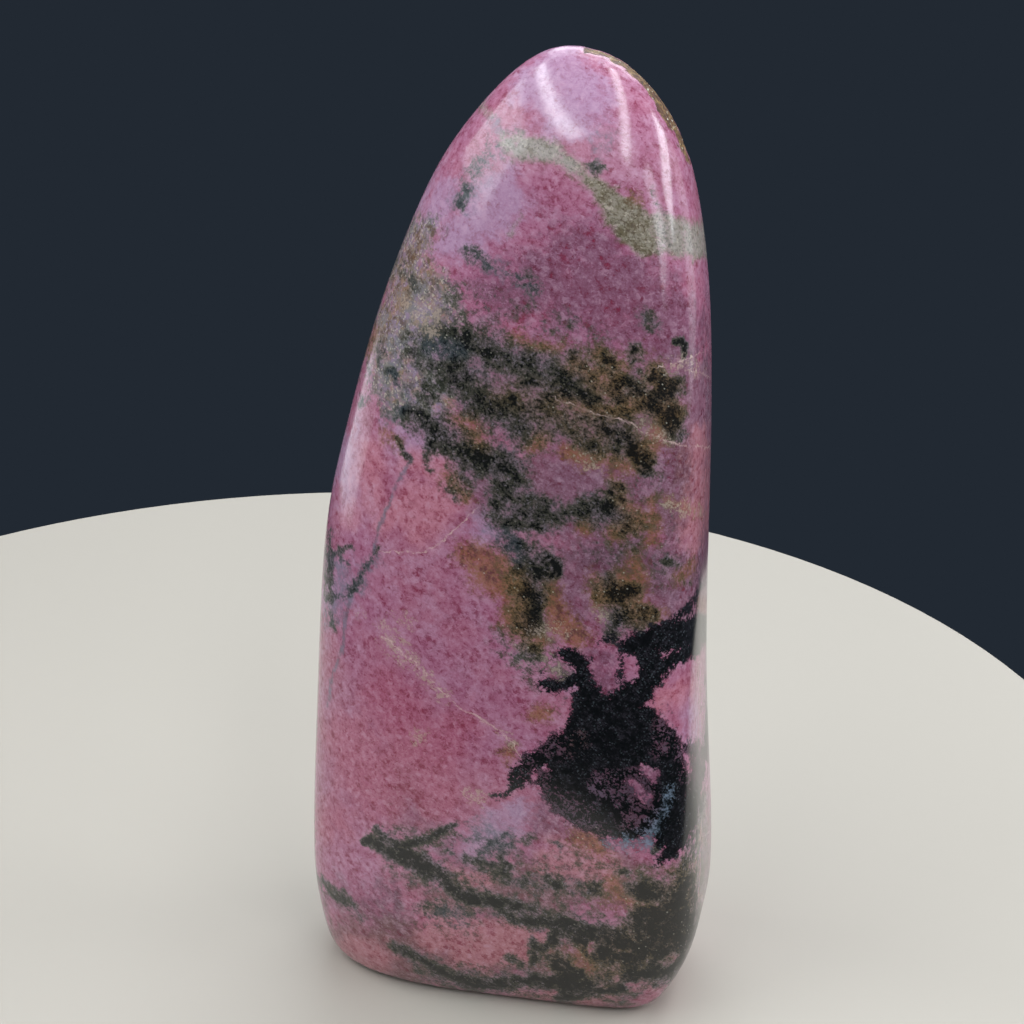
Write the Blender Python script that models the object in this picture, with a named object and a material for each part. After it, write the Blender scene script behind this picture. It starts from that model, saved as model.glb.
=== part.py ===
"""A polished rhodonite freeform: one upright piece of stone, standing on a flat sawn foot.

The stone is moulded from a cube. The cube's sides become the body, its top becomes the crown and its
bottom the foot, which gives an even net of four-sided faces with no pinched pole at the tip.
Run it with blender --background --python part.py, or from Blender's text editor.
"""

import math

import bmesh
import bpy
import numpy as np

MM = 0.001

# Driving dimensions, in millimetres. X runs across the broad face, Y from the front of the stone to its
# back, and Z up. The origin is in the middle of the foot.
HEIGHT = 150.0

# Each outline goes up one side, over the tip and down the other, as (distance from the middle, height).
# The front view's bottom corners are well rounded, the right one most.
FRONT_VIEW = [
    (-29.8, 0.0),
    (-31.4, 8.0),
    (-32.3, 20.0),
    (-30.9, 48.0),
    (-28.9, 75.0),
    (-25.0, 93.0),
    (-19.1, 113.0),
    (-11.6, 131.0),
    (-4.8, 141.0),
    (1.7, 147.5),
    (7.4, HEIGHT),
    (15.0, 148.4),
    (21.5, 142.5),
    (26.0, 133.0),
    (28.8, 117.0),
    (29.9, 96.0),
    (30.5, 55.0),
    (32.3, 24.0),
    (31.7, 12.0),
    (26.6, 0.0),
]
SIDE_VIEW = [
    (-15.5, 0.0),
    (-18.6, 8.0),
    (-20.2, 24.0),
    (-19.0, 60.0),
    (-15.8, 100.0),
    (-11.6, 126.0),
    (-6.8, 141.0),
    (2.0, HEIGHT),
    (9.6, 142.0),
    (13.8, 126.0),
    (17.4, 100.0),
    (19.6, 60.0),
    (20.2, 24.0),
    (17.4, 0.0),
]

# How square the corners of a level section are: 2 is round, and more is squarer. The corners at the front
# come first, then those at the back, each with the left one before the right.
FOOT_CORNERS = ((2.7, 7.0), (2.5, 3.2))
TIP_CORNERS = ((2.1, 2.4), (2.2, 2.2))

# The edge of the sawn foot is eased all round, and meets the foot at a blunt edge.
FOOT_ROUNDING = 3.0
FOOT_EDGE_ANGLE = math.radians(30)

# The net of faces: spans across each side of the cube, rows up its sides, and where the crown starts. The
# lowest rows crowd together toward the foot.
SPANS = 18
LOW_ROWS = 10
LOW_TOP = 20.0
LOW_CROWDING = 1.6
BODY_ROWS = 32
CROWN_START = 128.0
CURVE_STEPS = 32

STONE_PINK = (0.46, 0.17, 0.24, 1.0)
POLISH_ROUGHNESS = 0.16
SHARP_ANGLE = math.radians(25)


def clear_scene():
    for obj in list(bpy.data.objects):
        bpy.data.objects.remove(obj)


def smooth_curve(points):
    """Points close together on a Catmull-Rom curve through the points of an outline."""
    p = np.array(points)
    p = np.vstack([2 * p[0] - p[1], p, 2 * p[-1] - p[-2]])
    t = np.linspace(0, 1, CURVE_STEPS, endpoint=False)[:, None]
    spans = []
    for a, b, c, d in zip(p[:-3], p[1:-2], p[2:-1], p[3:]):
        bend = (2 * a - 5 * b + 4 * c - d) * t**2 + (3 * b - a - 3 * c + d) * t**3
        spans.append((2 * b + (c - a) * t + bend) / 2)
    return np.vstack([*spans, p[-2:-1]])


def reaches(outline, heights):
    """How far an outline reaches at each height, on its first side and on its second."""
    curve = smooth_curve(outline)
    top = curve[:, 1].argmax()
    sides = (curve[: top + 1], curve[top:][::-1])
    return [np.interp(heights, np.maximum.accumulate(side[:, 1]), side[:, 0]) for side in sides]


def row_heights():
    """The height of each row of the cube's sides, crowded together toward the foot."""
    low = LOW_TOP * np.linspace(0, 1, LOW_ROWS, endpoint=False) ** LOW_CROWDING
    return np.append(low, np.linspace(LOW_TOP, CROWN_START, BODY_ROWS + 1))


def crown_heights(share):
    """The heights at which the crown is a share (1 down to 0) as wide as it is at its start."""
    heights = np.linspace(HEIGHT, CROWN_START, CURVE_STEPS**2)
    left, right = reaches(FRONT_VIEW, heights)
    front, back = reaches(SIDE_VIEW, heights)
    girth = right - left + back - front
    return np.interp(share, girth / girth[-1], heights)


def foot_inset(heights):
    """How far the rounding of the foot's edge pulls a section in."""
    lean = np.clip(math.cos(FOOT_EDGE_ANGLE) - heights / FOOT_ROUNDING, 0, 1)
    return FOOT_ROUNDING * (1 - np.sqrt(1 - lean**2))


def superellipse(u, v, heights):
    """The direction (u, v) from a section's middle, brought out to a superellipse of unit reach."""
    corner = (v > 0).astype(int), (u > 0).astype(int)
    share = heights / HEIGHT
    squareness = (1 - share) * np.array(FOOT_CORNERS)[corner] + share * np.array(TIP_CORNERS)[corner]
    length = (np.abs(u) ** squareness + np.abs(v) ** squareness) ** (1 / squareness)
    return np.stack([u, v]) / np.maximum(length, MM)


def edges_that_rise(bm, wanted):
    """The edges of a netted cube that go up, or those that are level."""
    return [edge for edge in bm.edges if (abs(edge.verts[0].co.z - edge.verts[1].co.z) > 0.01) == wanted]


def netted_cube(rows):
    """A cube from -1 to 1, its sides divided into rows and every face into an even net."""
    bm = bmesh.new()
    bmesh.ops.create_cube(bm, size=2)
    bmesh.ops.subdivide_edges(bm, edges=edges_that_rise(bm, True), cuts=rows - 1, use_grid_fill=True)
    bmesh.ops.subdivide_edges(bm, edges=edges_that_rise(bm, False), cuts=SPANS - 1, use_grid_fill=True)
    return bm


def mould(cube):
    """Where each vertex of the netted cube goes on the stone."""
    u, v, w = cube.T
    rows = row_heights()
    # Distance from the middle of the cube's top or bottom: 1 all along its edges, and round in between.
    distance = np.hypot(u, v) * np.sqrt(2 / ((1 + u**2) * (1 + v**2)))
    height = np.interp(w, np.linspace(-1, 1, len(rows)), rows)
    on_top = w > 1 - 1 / len(rows)
    height[on_top] = crown_heights(distance[on_top])
    on_bottom = w < 1 / len(rows) - 1
    share = np.where(on_bottom, distance, 1)
    direction = superellipse(u, v, height)
    places = [height]
    for outline, towards in ((SIDE_VIEW, direction[1]), (FRONT_VIEW, direction[0])):
        near, far = reaches(outline, height)
        places.insert(0, (near + far) / 2 + share * towards * ((far - near) / 2 - foot_inset(height)))
    return np.stack(places, axis=1)


def polished_stone():
    material = bpy.data.materials.new("polished rhodonite")
    material.use_nodes = True
    shader = material.node_tree.nodes["Principled BSDF"]
    shader.inputs["Base Color"].default_value = STONE_PINK
    shader.inputs["Roughness"].default_value = POLISH_ROUGHNESS
    shader.inputs["Metallic"].default_value = 0.0
    return material


def make_stone():
    bm = netted_cube(LOW_ROWS + BODY_ROWS)
    placed = mould(np.array([vertex.co for vertex in bm.verts]))
    placed[:, :2] -= (placed.max(axis=0) + placed.min(axis=0))[:2] / 2
    for vertex, place in zip(bm.verts, placed):
        vertex.co = place * MM
    foot = [face for face in bm.faces if max(vertex.co.z for vertex in face.verts) < MM / SPANS]
    bmesh.ops.dissolve_faces(bm, faces=foot, use_verts=True)
    bmesh.ops.recalc_face_normals(bm, faces=bm.faces)
    mesh = bpy.data.meshes.new("stone")
    bm.to_mesh(mesh)
    bm.free()
    mesh.materials.append(polished_stone())
    mesh.shade_smooth()
    mesh.set_sharp_from_angle(angle=SHARP_ANGLE)
    stone = bpy.data.objects.new("stone", mesh)
    bpy.context.scene.collection.objects.link(stone)
    return stone


clear_scene()
make_stone()
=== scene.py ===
# %% [markdown]
# # A polished rhodonite freeform
#
# Rhodonite is a pink manganese stone. Where it has weathered, manganese oxide has turned black and crept
# along cracks, and iron has left rust and olive-brown stains. A freeform is a lump of such stone that has
# been ground to a pleasing upright shape, polished all over, and sawn flat below so that it stands.
#
# This script gives the stone its surface. It loads the solid as a fixed frame, makes a fine smooth skin
# from it, works out where each mineral lies, and mixes them in one material.

import math

import bmesh
import bpy
import numpy as np
from mathutils import Matrix, Vector, noise


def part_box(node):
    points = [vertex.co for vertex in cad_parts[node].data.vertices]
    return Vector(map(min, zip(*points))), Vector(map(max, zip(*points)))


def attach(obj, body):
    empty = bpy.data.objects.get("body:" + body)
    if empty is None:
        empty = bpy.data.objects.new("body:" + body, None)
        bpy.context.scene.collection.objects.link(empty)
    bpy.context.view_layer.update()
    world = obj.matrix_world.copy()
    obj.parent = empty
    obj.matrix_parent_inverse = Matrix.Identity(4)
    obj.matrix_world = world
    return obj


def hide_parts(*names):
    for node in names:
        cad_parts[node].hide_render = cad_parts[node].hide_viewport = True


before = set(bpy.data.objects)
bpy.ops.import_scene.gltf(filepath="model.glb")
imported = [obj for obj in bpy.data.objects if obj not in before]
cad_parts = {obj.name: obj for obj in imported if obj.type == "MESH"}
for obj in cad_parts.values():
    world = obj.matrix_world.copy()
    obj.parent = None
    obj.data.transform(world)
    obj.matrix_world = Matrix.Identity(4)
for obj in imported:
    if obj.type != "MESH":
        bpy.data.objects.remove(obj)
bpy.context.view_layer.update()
MM = 0.001


# %% [markdown]
# ## The camera
#
# The camera stands a little to the right of the stone and looks down on it. It could be aimed by hand, but
# it is set here from four facts that fix it completely: how far it is turned and dipped, its focal length
# in pixels of the frame, and the pixel and the depth at which the middle of the stone's foot appears. The
# same facts then tell where any point of the stone appears in the frame.

# %% Camera
FRAME_PIXELS = 1024
FOCAL_PIXELS = 2200
CAMERA_TURN = math.radians(12)
CAMERA_DIP = math.radians(23)
FOOT_PIXEL = (511.7, 945.6)
FOOT_DEPTH = 368.2 * MM
SENSOR_WIDTH = 36
CLIP_START = 10 * MM

turn_sin, turn_cos = math.sin(CAMERA_TURN), math.cos(CAMERA_TURN)
dip_sin, dip_cos = math.sin(CAMERA_DIP), math.cos(CAMERA_DIP)
camera_right = Vector((turn_cos, turn_sin, 0))
camera_back = Vector((turn_sin * dip_cos, -turn_cos * dip_cos, dip_sin))
camera_up = camera_back.cross(camera_right)
half_frame = FRAME_PIXELS / 2
foot_across = (FOOT_PIXEL[0] - half_frame) / FOCAL_PIXELS
foot_upward = (half_frame - FOOT_PIXEL[1]) / FOCAL_PIXELS
camera_place = FOOT_DEPTH * (camera_back - foot_across * camera_right - foot_upward * camera_up)

camera = bpy.data.objects.new("camera", bpy.data.cameras.new("camera"))
camera.data.sensor_width = SENSOR_WIDTH
camera.data.lens = SENSOR_WIDTH * FOCAL_PIXELS / FRAME_PIXELS
camera.data.clip_start = CLIP_START
axes = Matrix((camera_right, camera_up, camera_back)).transposed().to_4x4()
camera.matrix_world = Matrix.Translation(camera_place) @ axes
bpy.context.scene.collection.objects.link(camera)
bpy.context.scene.camera = camera


def place_in_frame(points):
    """The pixel at which each point appears, as rows of (across, down)."""
    seen = (points - np.array(camera_place)) @ np.array((camera_right, camera_up, camera_back)).T
    depth = -seen[:, 2]
    across = half_frame + FOCAL_PIXELS * seen[:, 0] / depth
    down = half_frame - FOCAL_PIXELS * seen[:, 1] / depth
    return np.stack([across, down], axis=1)


print("camera at", [round(value / MM) for value in camera_place], "mm")


# %% [markdown]
# ## The skin
#
# The solid under the stone has plain flat facets, which would show in a mirror polish. So a copy of it gets
# its doubles merged and its triangles joined to quads, and Subdivision Surface rounds it. Voxel Remesh
# then gives small even faces all over, which a pattern and small dents need, and Smooth takes out the last
# unevenness. The modifiers are turned into a plain mesh at once. Sculpting could give such a skin too, but
# it wouldn't follow the solid if that changed.

# %% Copy and apply
SAME_POINT = 0.001 * MM
FLAT_ENOUGH = math.radians(20)


def plain_copy(source, name):
    """A copy of a node with its doubles merged and its triangles joined to quads."""
    mesh = source.data.copy()
    mesh.materials.clear()
    shape = bmesh.new()
    shape.from_mesh(mesh)
    bmesh.ops.remove_doubles(shape, verts=shape.verts, dist=SAME_POINT)
    bmesh.ops.join_triangles(
        shape, faces=shape.faces, angle_face_threshold=FLAT_ENOUGH, angle_shape_threshold=math.pi
    )
    shape.to_mesh(mesh)
    shape.free()
    piece = bpy.data.objects.new(name, mesh)
    bpy.context.scene.collection.objects.link(piece)
    return piece


def apply_modifiers(piece):
    """Turns what the modifiers make into the object's own plain mesh."""
    bpy.context.view_layer.update()
    seen = piece.evaluated_get(bpy.context.evaluated_depsgraph_get())
    mesh = bpy.data.meshes.new_from_object(seen)
    piece.modifiers.clear()
    piece.data = mesh
    return mesh


# %% Skin
SOLID = "stone"
ROUNDING_LEVELS = 2
VOXEL = 0.56 * MM
SMOOTH_SHARE, SMOOTH_ROUNDS = 0.5, 14

skin = plain_copy(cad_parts[SOLID], "polished_stone")
rounding = skin.modifiers.new("rounding", "SUBSURF")
rounding.levels = rounding.render_levels = ROUNDING_LEVELS
remesh = skin.modifiers.new("even faces", "REMESH")
remesh.mode = "VOXEL"
remesh.voxel_size = VOXEL
remesh.use_smooth_shade = True
smooth = skin.modifiers.new("smooth", "SMOOTH")
smooth.factor = SMOOTH_SHARE
smooth.iterations = SMOOTH_ROUNDS
mesh = apply_modifiers(skin)
triangles = sum(len(face.vertices) - 2 for face in mesh.polygons)
print("skin:", len(mesh.vertices), "points,", triangles, "triangles")


# %% [markdown]
# Rounding cuts corners, so it draws a shape in a little. The stone has to fill the solid's own box, so the
# points are scaled back to it, by less than half a percent. Points close to the foot are then set level,
# because a sawn foot is flat. NumPy reads and writes all the points at once, much faster than a loop would.

# %% Fit the skin to the solid's box
FOOT_TOLERANCE = 0.15 * MM

places = np.zeros(len(mesh.vertices) * 3, np.float32)
mesh.vertices.foreach_get("co", places)
places = places.reshape(-1, 3)
lowest, highest = (np.array(corner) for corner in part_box(SOLID))
drawn_in = (highest - lowest) / (places.max(axis=0) - places.min(axis=0))
places = (places - places.min(axis=0)) * drawn_in + lowest
places[places[:, 2] < FOOT_TOLERANCE, 2] = 0
print("rounding drew the shape in by", np.round(100 * (drawn_in - 1), 2).tolist(), "%")
mesh.vertices.foreach_set("co", places.ravel())
mesh.update()


# %% [markdown]
# ## Where a mineral lies
#
# A pattern that must be in one place can't come from noise alone. So each mineral is laid down as a maker
# would paint it: with strokes. A stroke is a row of points with a brush radius at each, in pixels of the
# camera's frame, where the stone is 960 pixels tall. Every point of the skin asks how deep it lies in the
# nearest stroke. The answer is kept in the mesh as a named attribute, which a material can read. A painted
# texture could do the same, but it would need a UV map, would blur close up, and would show a seam.
#
# Seen from the front, the strokes stay where they were put. Towards the sides and the back they wander off
# more and more with a slow noise, as veins do that run through a stone, so no two sides look alike.
#
# Blender's noise starts from the clock unless it is given a seed. The seed is set once here, before the
# first use, so that each run gives the same stone. Any whole number but 0 will do.

# %% Wander
SIDE_STARTS, SIDE_ENDS = 0.15, -0.55
SLOW_WANDER, SLOW_SIZE = 95, 26 * MM
QUICK_WANDER, QUICK_SIZE = 34, 9 * MM
EDGE_WANDER, EDGE_SIZE = 4.0, 2.4 * MM
FINE_WANDER, FINE_SIZE = 2.5, 0.9 * MM
SEED_STEP = (17.3, -9.1, 5.7)
NOISE_SEED = 1795482990


def smooth_step(value, low, high):
    """0 below low, 1 above high, and a smooth rise between them."""
    share = np.clip((value - low) / (high - low), 0, 1)
    return share * share * (3 - 2 * share)


def noise_field(points, size, seed):
    """A smooth random pair of numbers between about -1 and 1 for each point."""
    shift = Vector([seed * step for step in SEED_STEP])
    return np.array([noise.noise_vector(Vector(point) / size + shift)[:2] for point in points])


noise.seed_set(NOISE_SEED)
normals = np.zeros(len(mesh.vertices) * 3, np.float32)
mesh.vertex_normals.foreach_get("vector", normals)
normals = normals.reshape(-1, 3)
towards_camera = np.array(camera_place) - places
towards_camera /= np.linalg.norm(towards_camera, axis=1)[:, None]
facing = np.sum(normals * towards_camera, axis=1)
turned_away = 1 - smooth_step(facing, SIDE_ENDS, SIDE_STARTS)[:, None]

spots = place_in_frame(places)
spots += turned_away * SLOW_WANDER * noise_field(places, SLOW_SIZE, 1)
spots += turned_away * QUICK_WANDER * noise_field(places, QUICK_SIZE, 2)
ragged = EDGE_WANDER * noise_field(places, EDGE_SIZE, 3) + FINE_WANDER * noise_field(places, FINE_SIZE, 4)
print("points turned away from the camera:", int(np.sum(facing < 0)), "of", len(places))


# %% [markdown]
# The depth in a stroke is found for one section after another: the nearest place on the section, the distance
# to it, and the brush radius there. The deepest section wins. Cover turns the depth into a soft number from
# 0 to 1, and keep stores it in the mesh.

# %% Brush
FAR_AWAY = 1e3
ALMOST_NOTHING = 1e-6


def depth_in(strokes, raggedness=1.0):
    """How many pixels each point lies inside the nearest stroke, or outside it if negative."""
    where = spots + raggedness * ragged
    deepest = np.full(len(where), -FAR_AWAY)
    for stroke in strokes:
        rows = np.array(stroke + stroke[-1:], float) if len(stroke) == 1 else np.array(stroke, float)
        for start, end in zip(rows[:-1], rows[1:]):
            along = end[:2] - start[:2]
            length = max(float(along @ along), ALMOST_NOTHING)
            share = np.clip((where - start[:2]) @ along / length, 0, 1)
            nearest = start[:2] + share[:, None] * along
            distance = np.linalg.norm(where - nearest, axis=1)
            deepest = np.maximum(deepest, start[2] + share * (end[2] - start[2]) - distance)
    return deepest


def cover(strokes, softness, raggedness=1.0):
    """How fully the strokes cover each point, from 0 to 1, with an edge of that many pixels."""
    return smooth_step(depth_in(strokes, raggedness), -softness, softness)


def keep(name, values):
    """Stores one number for each point of the skin under a name that a material can read."""
    attribute = mesh.attributes.new(name, "FLOAT", "POINT")
    attribute.data.foreach_set("value", np.asarray(values, np.float32))
    print(f"{name}: covers {100 * float(np.mean(values > 0.5)):.0f} % of the points")


# %% [markdown]
# ### Black manganese oxide
#
# The heaviest vein lies low on the right. It is solid black, has arms and a ring, and lets the pink stone
# through in islands. Solid black needs a crisp edge, so the depth itself is kept, scaled to run from -1
# to 1, and the material cuts it with fine noise. Islands are strokes taken away again. Where the black is
# loose, a second attribute lets the material open holes in it.

# %% Black
BLACK_REACH = 10
BLACK_MASS = [
    [(705, 578, 2), (696, 597, 3), (687, 610, 4), (676, 620, 4)],
    [(700, 628, 16), (668, 638, 15), (642, 643, 13), (628, 646, 9)],
    [(600, 640, 1.5), (609, 637, 3), (617, 640, 2)],
    [(566, 654, 6), (577, 657, 9), (586, 666, 10), (585, 690, 13), (590, 712, 17)],
    [(541, 683, 5), (552, 688, 7), (570, 682, 7), (584, 672, 7)],
    [(560, 655, 3), (549, 663, 2), (543, 674, 2)],
    [(650, 658, 14), (643, 690, 13), (622, 704, 18), (600, 716, 20), (580, 735, 20)],
    [(619, 655, 3), (618, 670, 3), (622, 681, 3), (634, 684, 4), (643, 674, 5)],
    [(694, 648, 8), (670, 660, 9), (656, 674, 10), (648, 690, 8)],
    [(640, 728, 24), (662, 742, 18), (670, 765, 14), (684, 785, 10)],
    [(610, 745, 34), (640, 775, 34), (650, 800, 26)],
    [(560, 745, 14), (532, 763, 10), (518, 770, 7), (512, 784, 4)],
    [(575, 760, 28), (575, 785, 27), (596, 806, 26), (630, 815, 26), (650, 822, 14)],
    [(545, 780, 10), (560, 802, 10), (578, 816, 10), (602, 832, 8)],
    [(674, 780, 14), (674, 812, 14), (664, 836, 13)],
    [(684, 748, 6), (694, 752, 6), (698, 742, 3)],
    [(526, 778, 6), (506, 794, 4), (489, 798, 2)],
    [(694, 782, 10), (692, 806, 10), (684, 830, 11), (672, 850, 9), (658, 862, 5)],
    [(696, 760, 7), (700, 775, 6)],
    [(709, 650, 2), (709, 690, 3), (708, 730, 4), (704, 758, 5)],
]
BLACK_ISLANDS = [
    [(604, 655, 14), (604, 672, 15), (611, 684, 8)],
    [(630, 670, 9)],
    [(644, 768, 4), (652, 774, 6)],
    [(631, 784, 5), (638, 789, 7)],
    [(646, 796, 6)],
]
LOOSE_BLACK = [
    [(600, 784, 10), (632, 792, 22), (640, 812, 20)],
    [(560, 800, 5), (584, 812, 8)],
    [(562, 748, 8), (580, 740, 6)],
    [(542, 776, 5), (556, 802, 8), (576, 818, 9), (600, 834, 8)],
    [(556, 738, 5), (528, 764, 5)],
    [(664, 706, 4), (662, 750, 6)],
    [(690, 752, 14), (694, 780, 8)],
]
black_depth = np.minimum(depth_in(BLACK_MASS), -depth_in(BLACK_ISLANDS) + 1)
keep("black", np.clip(black_depth / BLACK_REACH, -1, 1))
keep("loose", cover(LOOSE_BLACK, 10))


# %% [markdown]
# ### Dark grains
#
# Above the heavy vein a band crosses the stone in which black, green-black and grey grains are mixed into
# the pink. Here a stroke doesn't say black or not: it says how far the dark minerals have taken over. The
# material adds its mottling to that number, and the sum decides between pink, grey haze, olive and black.
# Strokes of several strengths lie over each other and the strongest wins.
#
# First come the strokes of the band itself: small dark knots, a looser mix around them, and brown patches
# where iron joins in.

# %% Dark band
DARK_KNOTS = [
    [(447, 329, 5), (454, 331, 5)],
    [(466, 336, 8), (466, 346, 8), (462, 352, 5)],
    [(482, 352, 8), (494, 356, 8)],
    [(455, 366, 6), (454, 380, 8), (458, 386, 6)],
    [(464, 376, 5), (472, 380, 5)],
    [(480, 400, 7), (490, 408, 8)],
    [(404, 410, 5), (414, 414, 6), (426, 418, 6)],
    [(428, 424, 6), (434, 436, 8), (430, 446, 6)],
    [(456, 446, 6), (464, 454, 6)],
    [(476, 454, 7), (486, 464, 8)],
    [(500, 446, 5), (504, 454, 6), (512, 462, 5)],
    [(500, 466, 7), (512, 474, 8), (518, 484, 6)],
    [(554, 384, 6), (568, 394, 7)],
    [(578, 392, 5), (596, 398, 7)],
    [(587, 419, 5)],
    [(606, 428, 8), (620, 436, 10), (632, 440, 6)],
    [(602, 450, 5)],
    [(494, 504, 5), (505, 510, 5)],
    [(534, 524, 8), (540, 528, 5)],
    [(504, 525, 5), (514, 527, 4)],
    [(566, 513, 6)],
    [(582, 512, 7), (598, 506, 8), (610, 504, 6)],
    [(618, 522, 8), (628, 526, 8)],
    [(634, 551, 4)],
    [(546, 560, 5), (552, 572, 6)],
    [(644, 608, 6), (654, 616, 6)],
    [(548, 880, 6), (556, 886, 6)],
    [(590, 886, 5), (596, 892, 6)],
    [(462, 182, 2), (465, 192, 4), (460, 205, 4)],
    [(593, 166, 4), (598, 170, 4)],
]
DARK_MIX = [
    [(440, 330, 12), (466, 344, 16), (490, 354, 14), (520, 360, 14), (550, 366, 14), (574, 384, 18)],
    [(450, 372, 16), (466, 392, 14), (490, 404, 16), (522, 424, 18), (545, 396, 14), (560, 400, 12)],
    [(524, 380, 14), (545, 388, 10)],
    [(428, 388, 8), (430, 400, 6)],
    [(410, 350, 6), (426, 362, 8)],
    [(410, 414, 10), (436, 430, 14), (458, 450, 14), (482, 464, 16), (508, 466, 18), (505, 496, 16)],
    [(460, 470, 10), (458, 488, 12)],
    [(500, 512, 14), (536, 518, 18), (550, 512, 12)],
    [(584, 400, 14), (600, 410, 16), (606, 430, 16), (626, 440, 18)],
    [(566, 512, 8), (590, 510, 14), (606, 506, 14), (624, 522, 14)],
    [(512, 546, 14), (530, 556, 14), (548, 566, 12)],
    [(604, 590, 12), (620, 612, 18), (640, 620, 12)],
    [(640, 890, 14), (672, 890, 16), (684, 870, 10), (690, 840, 4)],
    [(536, 660, 6), (530, 648, 10)],
    [(556, 668, 5), (572, 677, 6)],
]
BROWN_DARK = [
    [(572, 358, 8), (584, 368, 8)],
    [(606, 358, 8), (618, 362, 5)],
    [(616, 384, 12), (622, 396, 11)],
    [(655, 378, 12), (668, 386, 14), (662, 400, 16), (668, 420, 15), (672, 432, 9)],
    [(650, 402, 12)],
    [(632, 384, 8), (640, 394, 9)],
    [(632, 448, 11), (646, 460, 11), (648, 470, 6)],
    [(616, 490, 9), (622, 500, 6)],
    [(528, 592, 13), (536, 602, 11), (530, 628, 13)],
    [(608, 584, 11), (616, 596, 10), (632, 594, 10)],
    [(618, 616, 10), (612, 632, 7)],
    [(540, 574, 8)],
    [(634, 352, 9)],
]
print("dark band:", len(DARK_KNOTS + DARK_MIX + BROWN_DARK), "strokes")


# %% [markdown]
# Olive veins branch along the foot and gather to a mass at the right, with pink islands in it. Streaks run
# out of the band and the veins, and a few small marks lie alone. A thin dark line on the shoulder, between
# the highlight streaks, is painted shade.

# %% Olive veins
OLIVE_VEINS = [
    [(396, 852, 6), (415, 862, 11), (432, 870, 9), (446, 882, 7), (460, 896, 7), (486, 900, 6),
     (519, 907, 6)],
    [(519, 907, 6), (536, 911, 4)],
    [(500, 910, 3), (514, 918, 5), (540, 922, 7), (564, 926, 9), (586, 934, 14), (612, 944, 18)],
    [(430, 873, 2), (445, 874, 3), (459, 876, 2)],
    [(462, 859, 2), (478, 861, 3), (500, 864, 3), (514, 867, 2)],
    [(394, 946, 4), (411, 955, 5), (430, 966, 5), (459, 979, 6), (474, 986, 7), (508, 982, 6), (541, 980, 6)],
    [(541, 980, 7), (570, 984, 12), (592, 990, 8)],
    [(534, 940, 4), (538, 952, 4), (534, 964, 3)],
    [(508, 958, 2), (520, 967, 2)],
    [(519, 882, 4), (526, 878, 3)],
    [(618, 873, 4), (626, 872, 3)],
    [(556, 934, 8), (550, 950, 9), (562, 966, 9), (578, 974, 10)],
    [(640, 928, 12), (656, 924, 10), (672, 924, 8)],
    [(634, 888, 8), (648, 894, 10), (664, 896, 8)],
    [(560, 996, 6), (580, 994, 5)],
    [(369, 840, 5), (382, 849, 6), (398, 856, 7)],
    [(690, 880, 6), (694, 910, 6), (690, 940, 8)],
]
OLIVE_MASS = [
    [(586, 944, 10), (606, 950, 16), (630, 952, 18), (650, 944, 20), (668, 930, 14), (684, 914, 12)],
    [(590, 985, 10), (616, 992, 8), (640, 972, 14), (664, 966, 16), (676, 948, 16)],
    [(640, 920, 14), (668, 912, 14), (688, 880, 8)],
]
OLIVE_ISLANDS = [
    [(552, 952, 4)],
    [(570, 951, 4), (580, 956, 4)],
    [(576, 964, 4), (590, 968, 6)],
    [(594, 944, 3), (590, 950, 3)],
    [(604, 980, 6), (614, 972, 8), (622, 970, 5)],
    [(630, 988, 5), (648, 983, 5)],
    [(617, 950, 2), (630, 948, 2)],
    [(642, 968, 3), (650, 957, 3)],
    [(662, 966, 4), (675, 955, 3)],
    [(520, 992, 4), (552, 992, 4)],
    [(600, 996, 4), (620, 998, 4)],
]
print("olive veins:", len(OLIVE_VEINS + OLIVE_MASS), "strokes,", len(OLIVE_ISLANDS), "islands")

# %% Streaks and small marks
DARK_STREAKS = [
    [(375, 826, 3), (383, 838, 4), (397, 845, 5), (417, 842, 4), (436, 836, 4), (447, 828, 3), (456, 824, 2)],
    [(364, 840, 4), (370, 838, 4)],
    [(395, 437, 1.5), (403, 450, 2.5), (411, 461, 2)],
    [(448, 850, 2), (453, 852, 2)],
    [(652, 852, 3), (664, 842, 3)],
]
SOFT_STREAKS_AND_SHOULDER_SHADE = [
    # Painted shade: a thin dark line down the shoulder, between the highlight streaks.
    [(654, 186, 0), (662, 215, 1), (669, 255, 0)],
    [(318, 878, 3), (336, 893, 6), (350, 904, 6), (362, 920, 3)],
    [(376, 548, 1), (369, 562, 2), (362, 574, 3), (357, 585, 5), (349, 590, 3)],
    [(330, 530, 3), (329, 560, 4), (329, 585, 4), (328, 600, 3)],
    [(332, 556, 4), (342, 548, 4), (350, 547, 3)],
    [(340, 557, 2), (348, 567, 2)],
    [(331, 592, 3), (342, 598, 2), (352, 591, 2)],
    [(327, 611, 1), (333, 620, 2), (337, 632, 1)],
    [(378, 346, 4), (380, 360, 4)],
    [(364, 396, 3), (363, 404, 4)],
    [(392, 372, 5), (398, 384, 4)],
    [(424, 454, 3), (430, 466, 3)],
    [(472, 862, 3), (508, 832, 3), (512, 850, 4)],
    [(500, 844, 6), (506, 878, 8), (512, 884, 4)],
    [(550, 842, 3), (560, 848, 4)],
    [(668, 562, 6), (675, 565, 3)],
    [(672, 580, 2), (686, 581, 2)],
]
SMALL_MARKS = [
    [(674, 341, 2), (681, 341, 3), (685, 347, 3), (684, 358, 2)],
    [(546, 553, 2), (551, 558, 3), (556, 566, 4), (559, 573, 3)],
]
print("streaks and marks:", len(DARK_STREAKS + SOFT_STREAKS_AND_SHOULDER_SHADE + SMALL_MARKS), "strokes")


# %% [markdown]
# A grey smoke lies around all of the dark minerals, thinner on some pink islands. Far from them the pink
# still has faint grey mottling.

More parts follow.
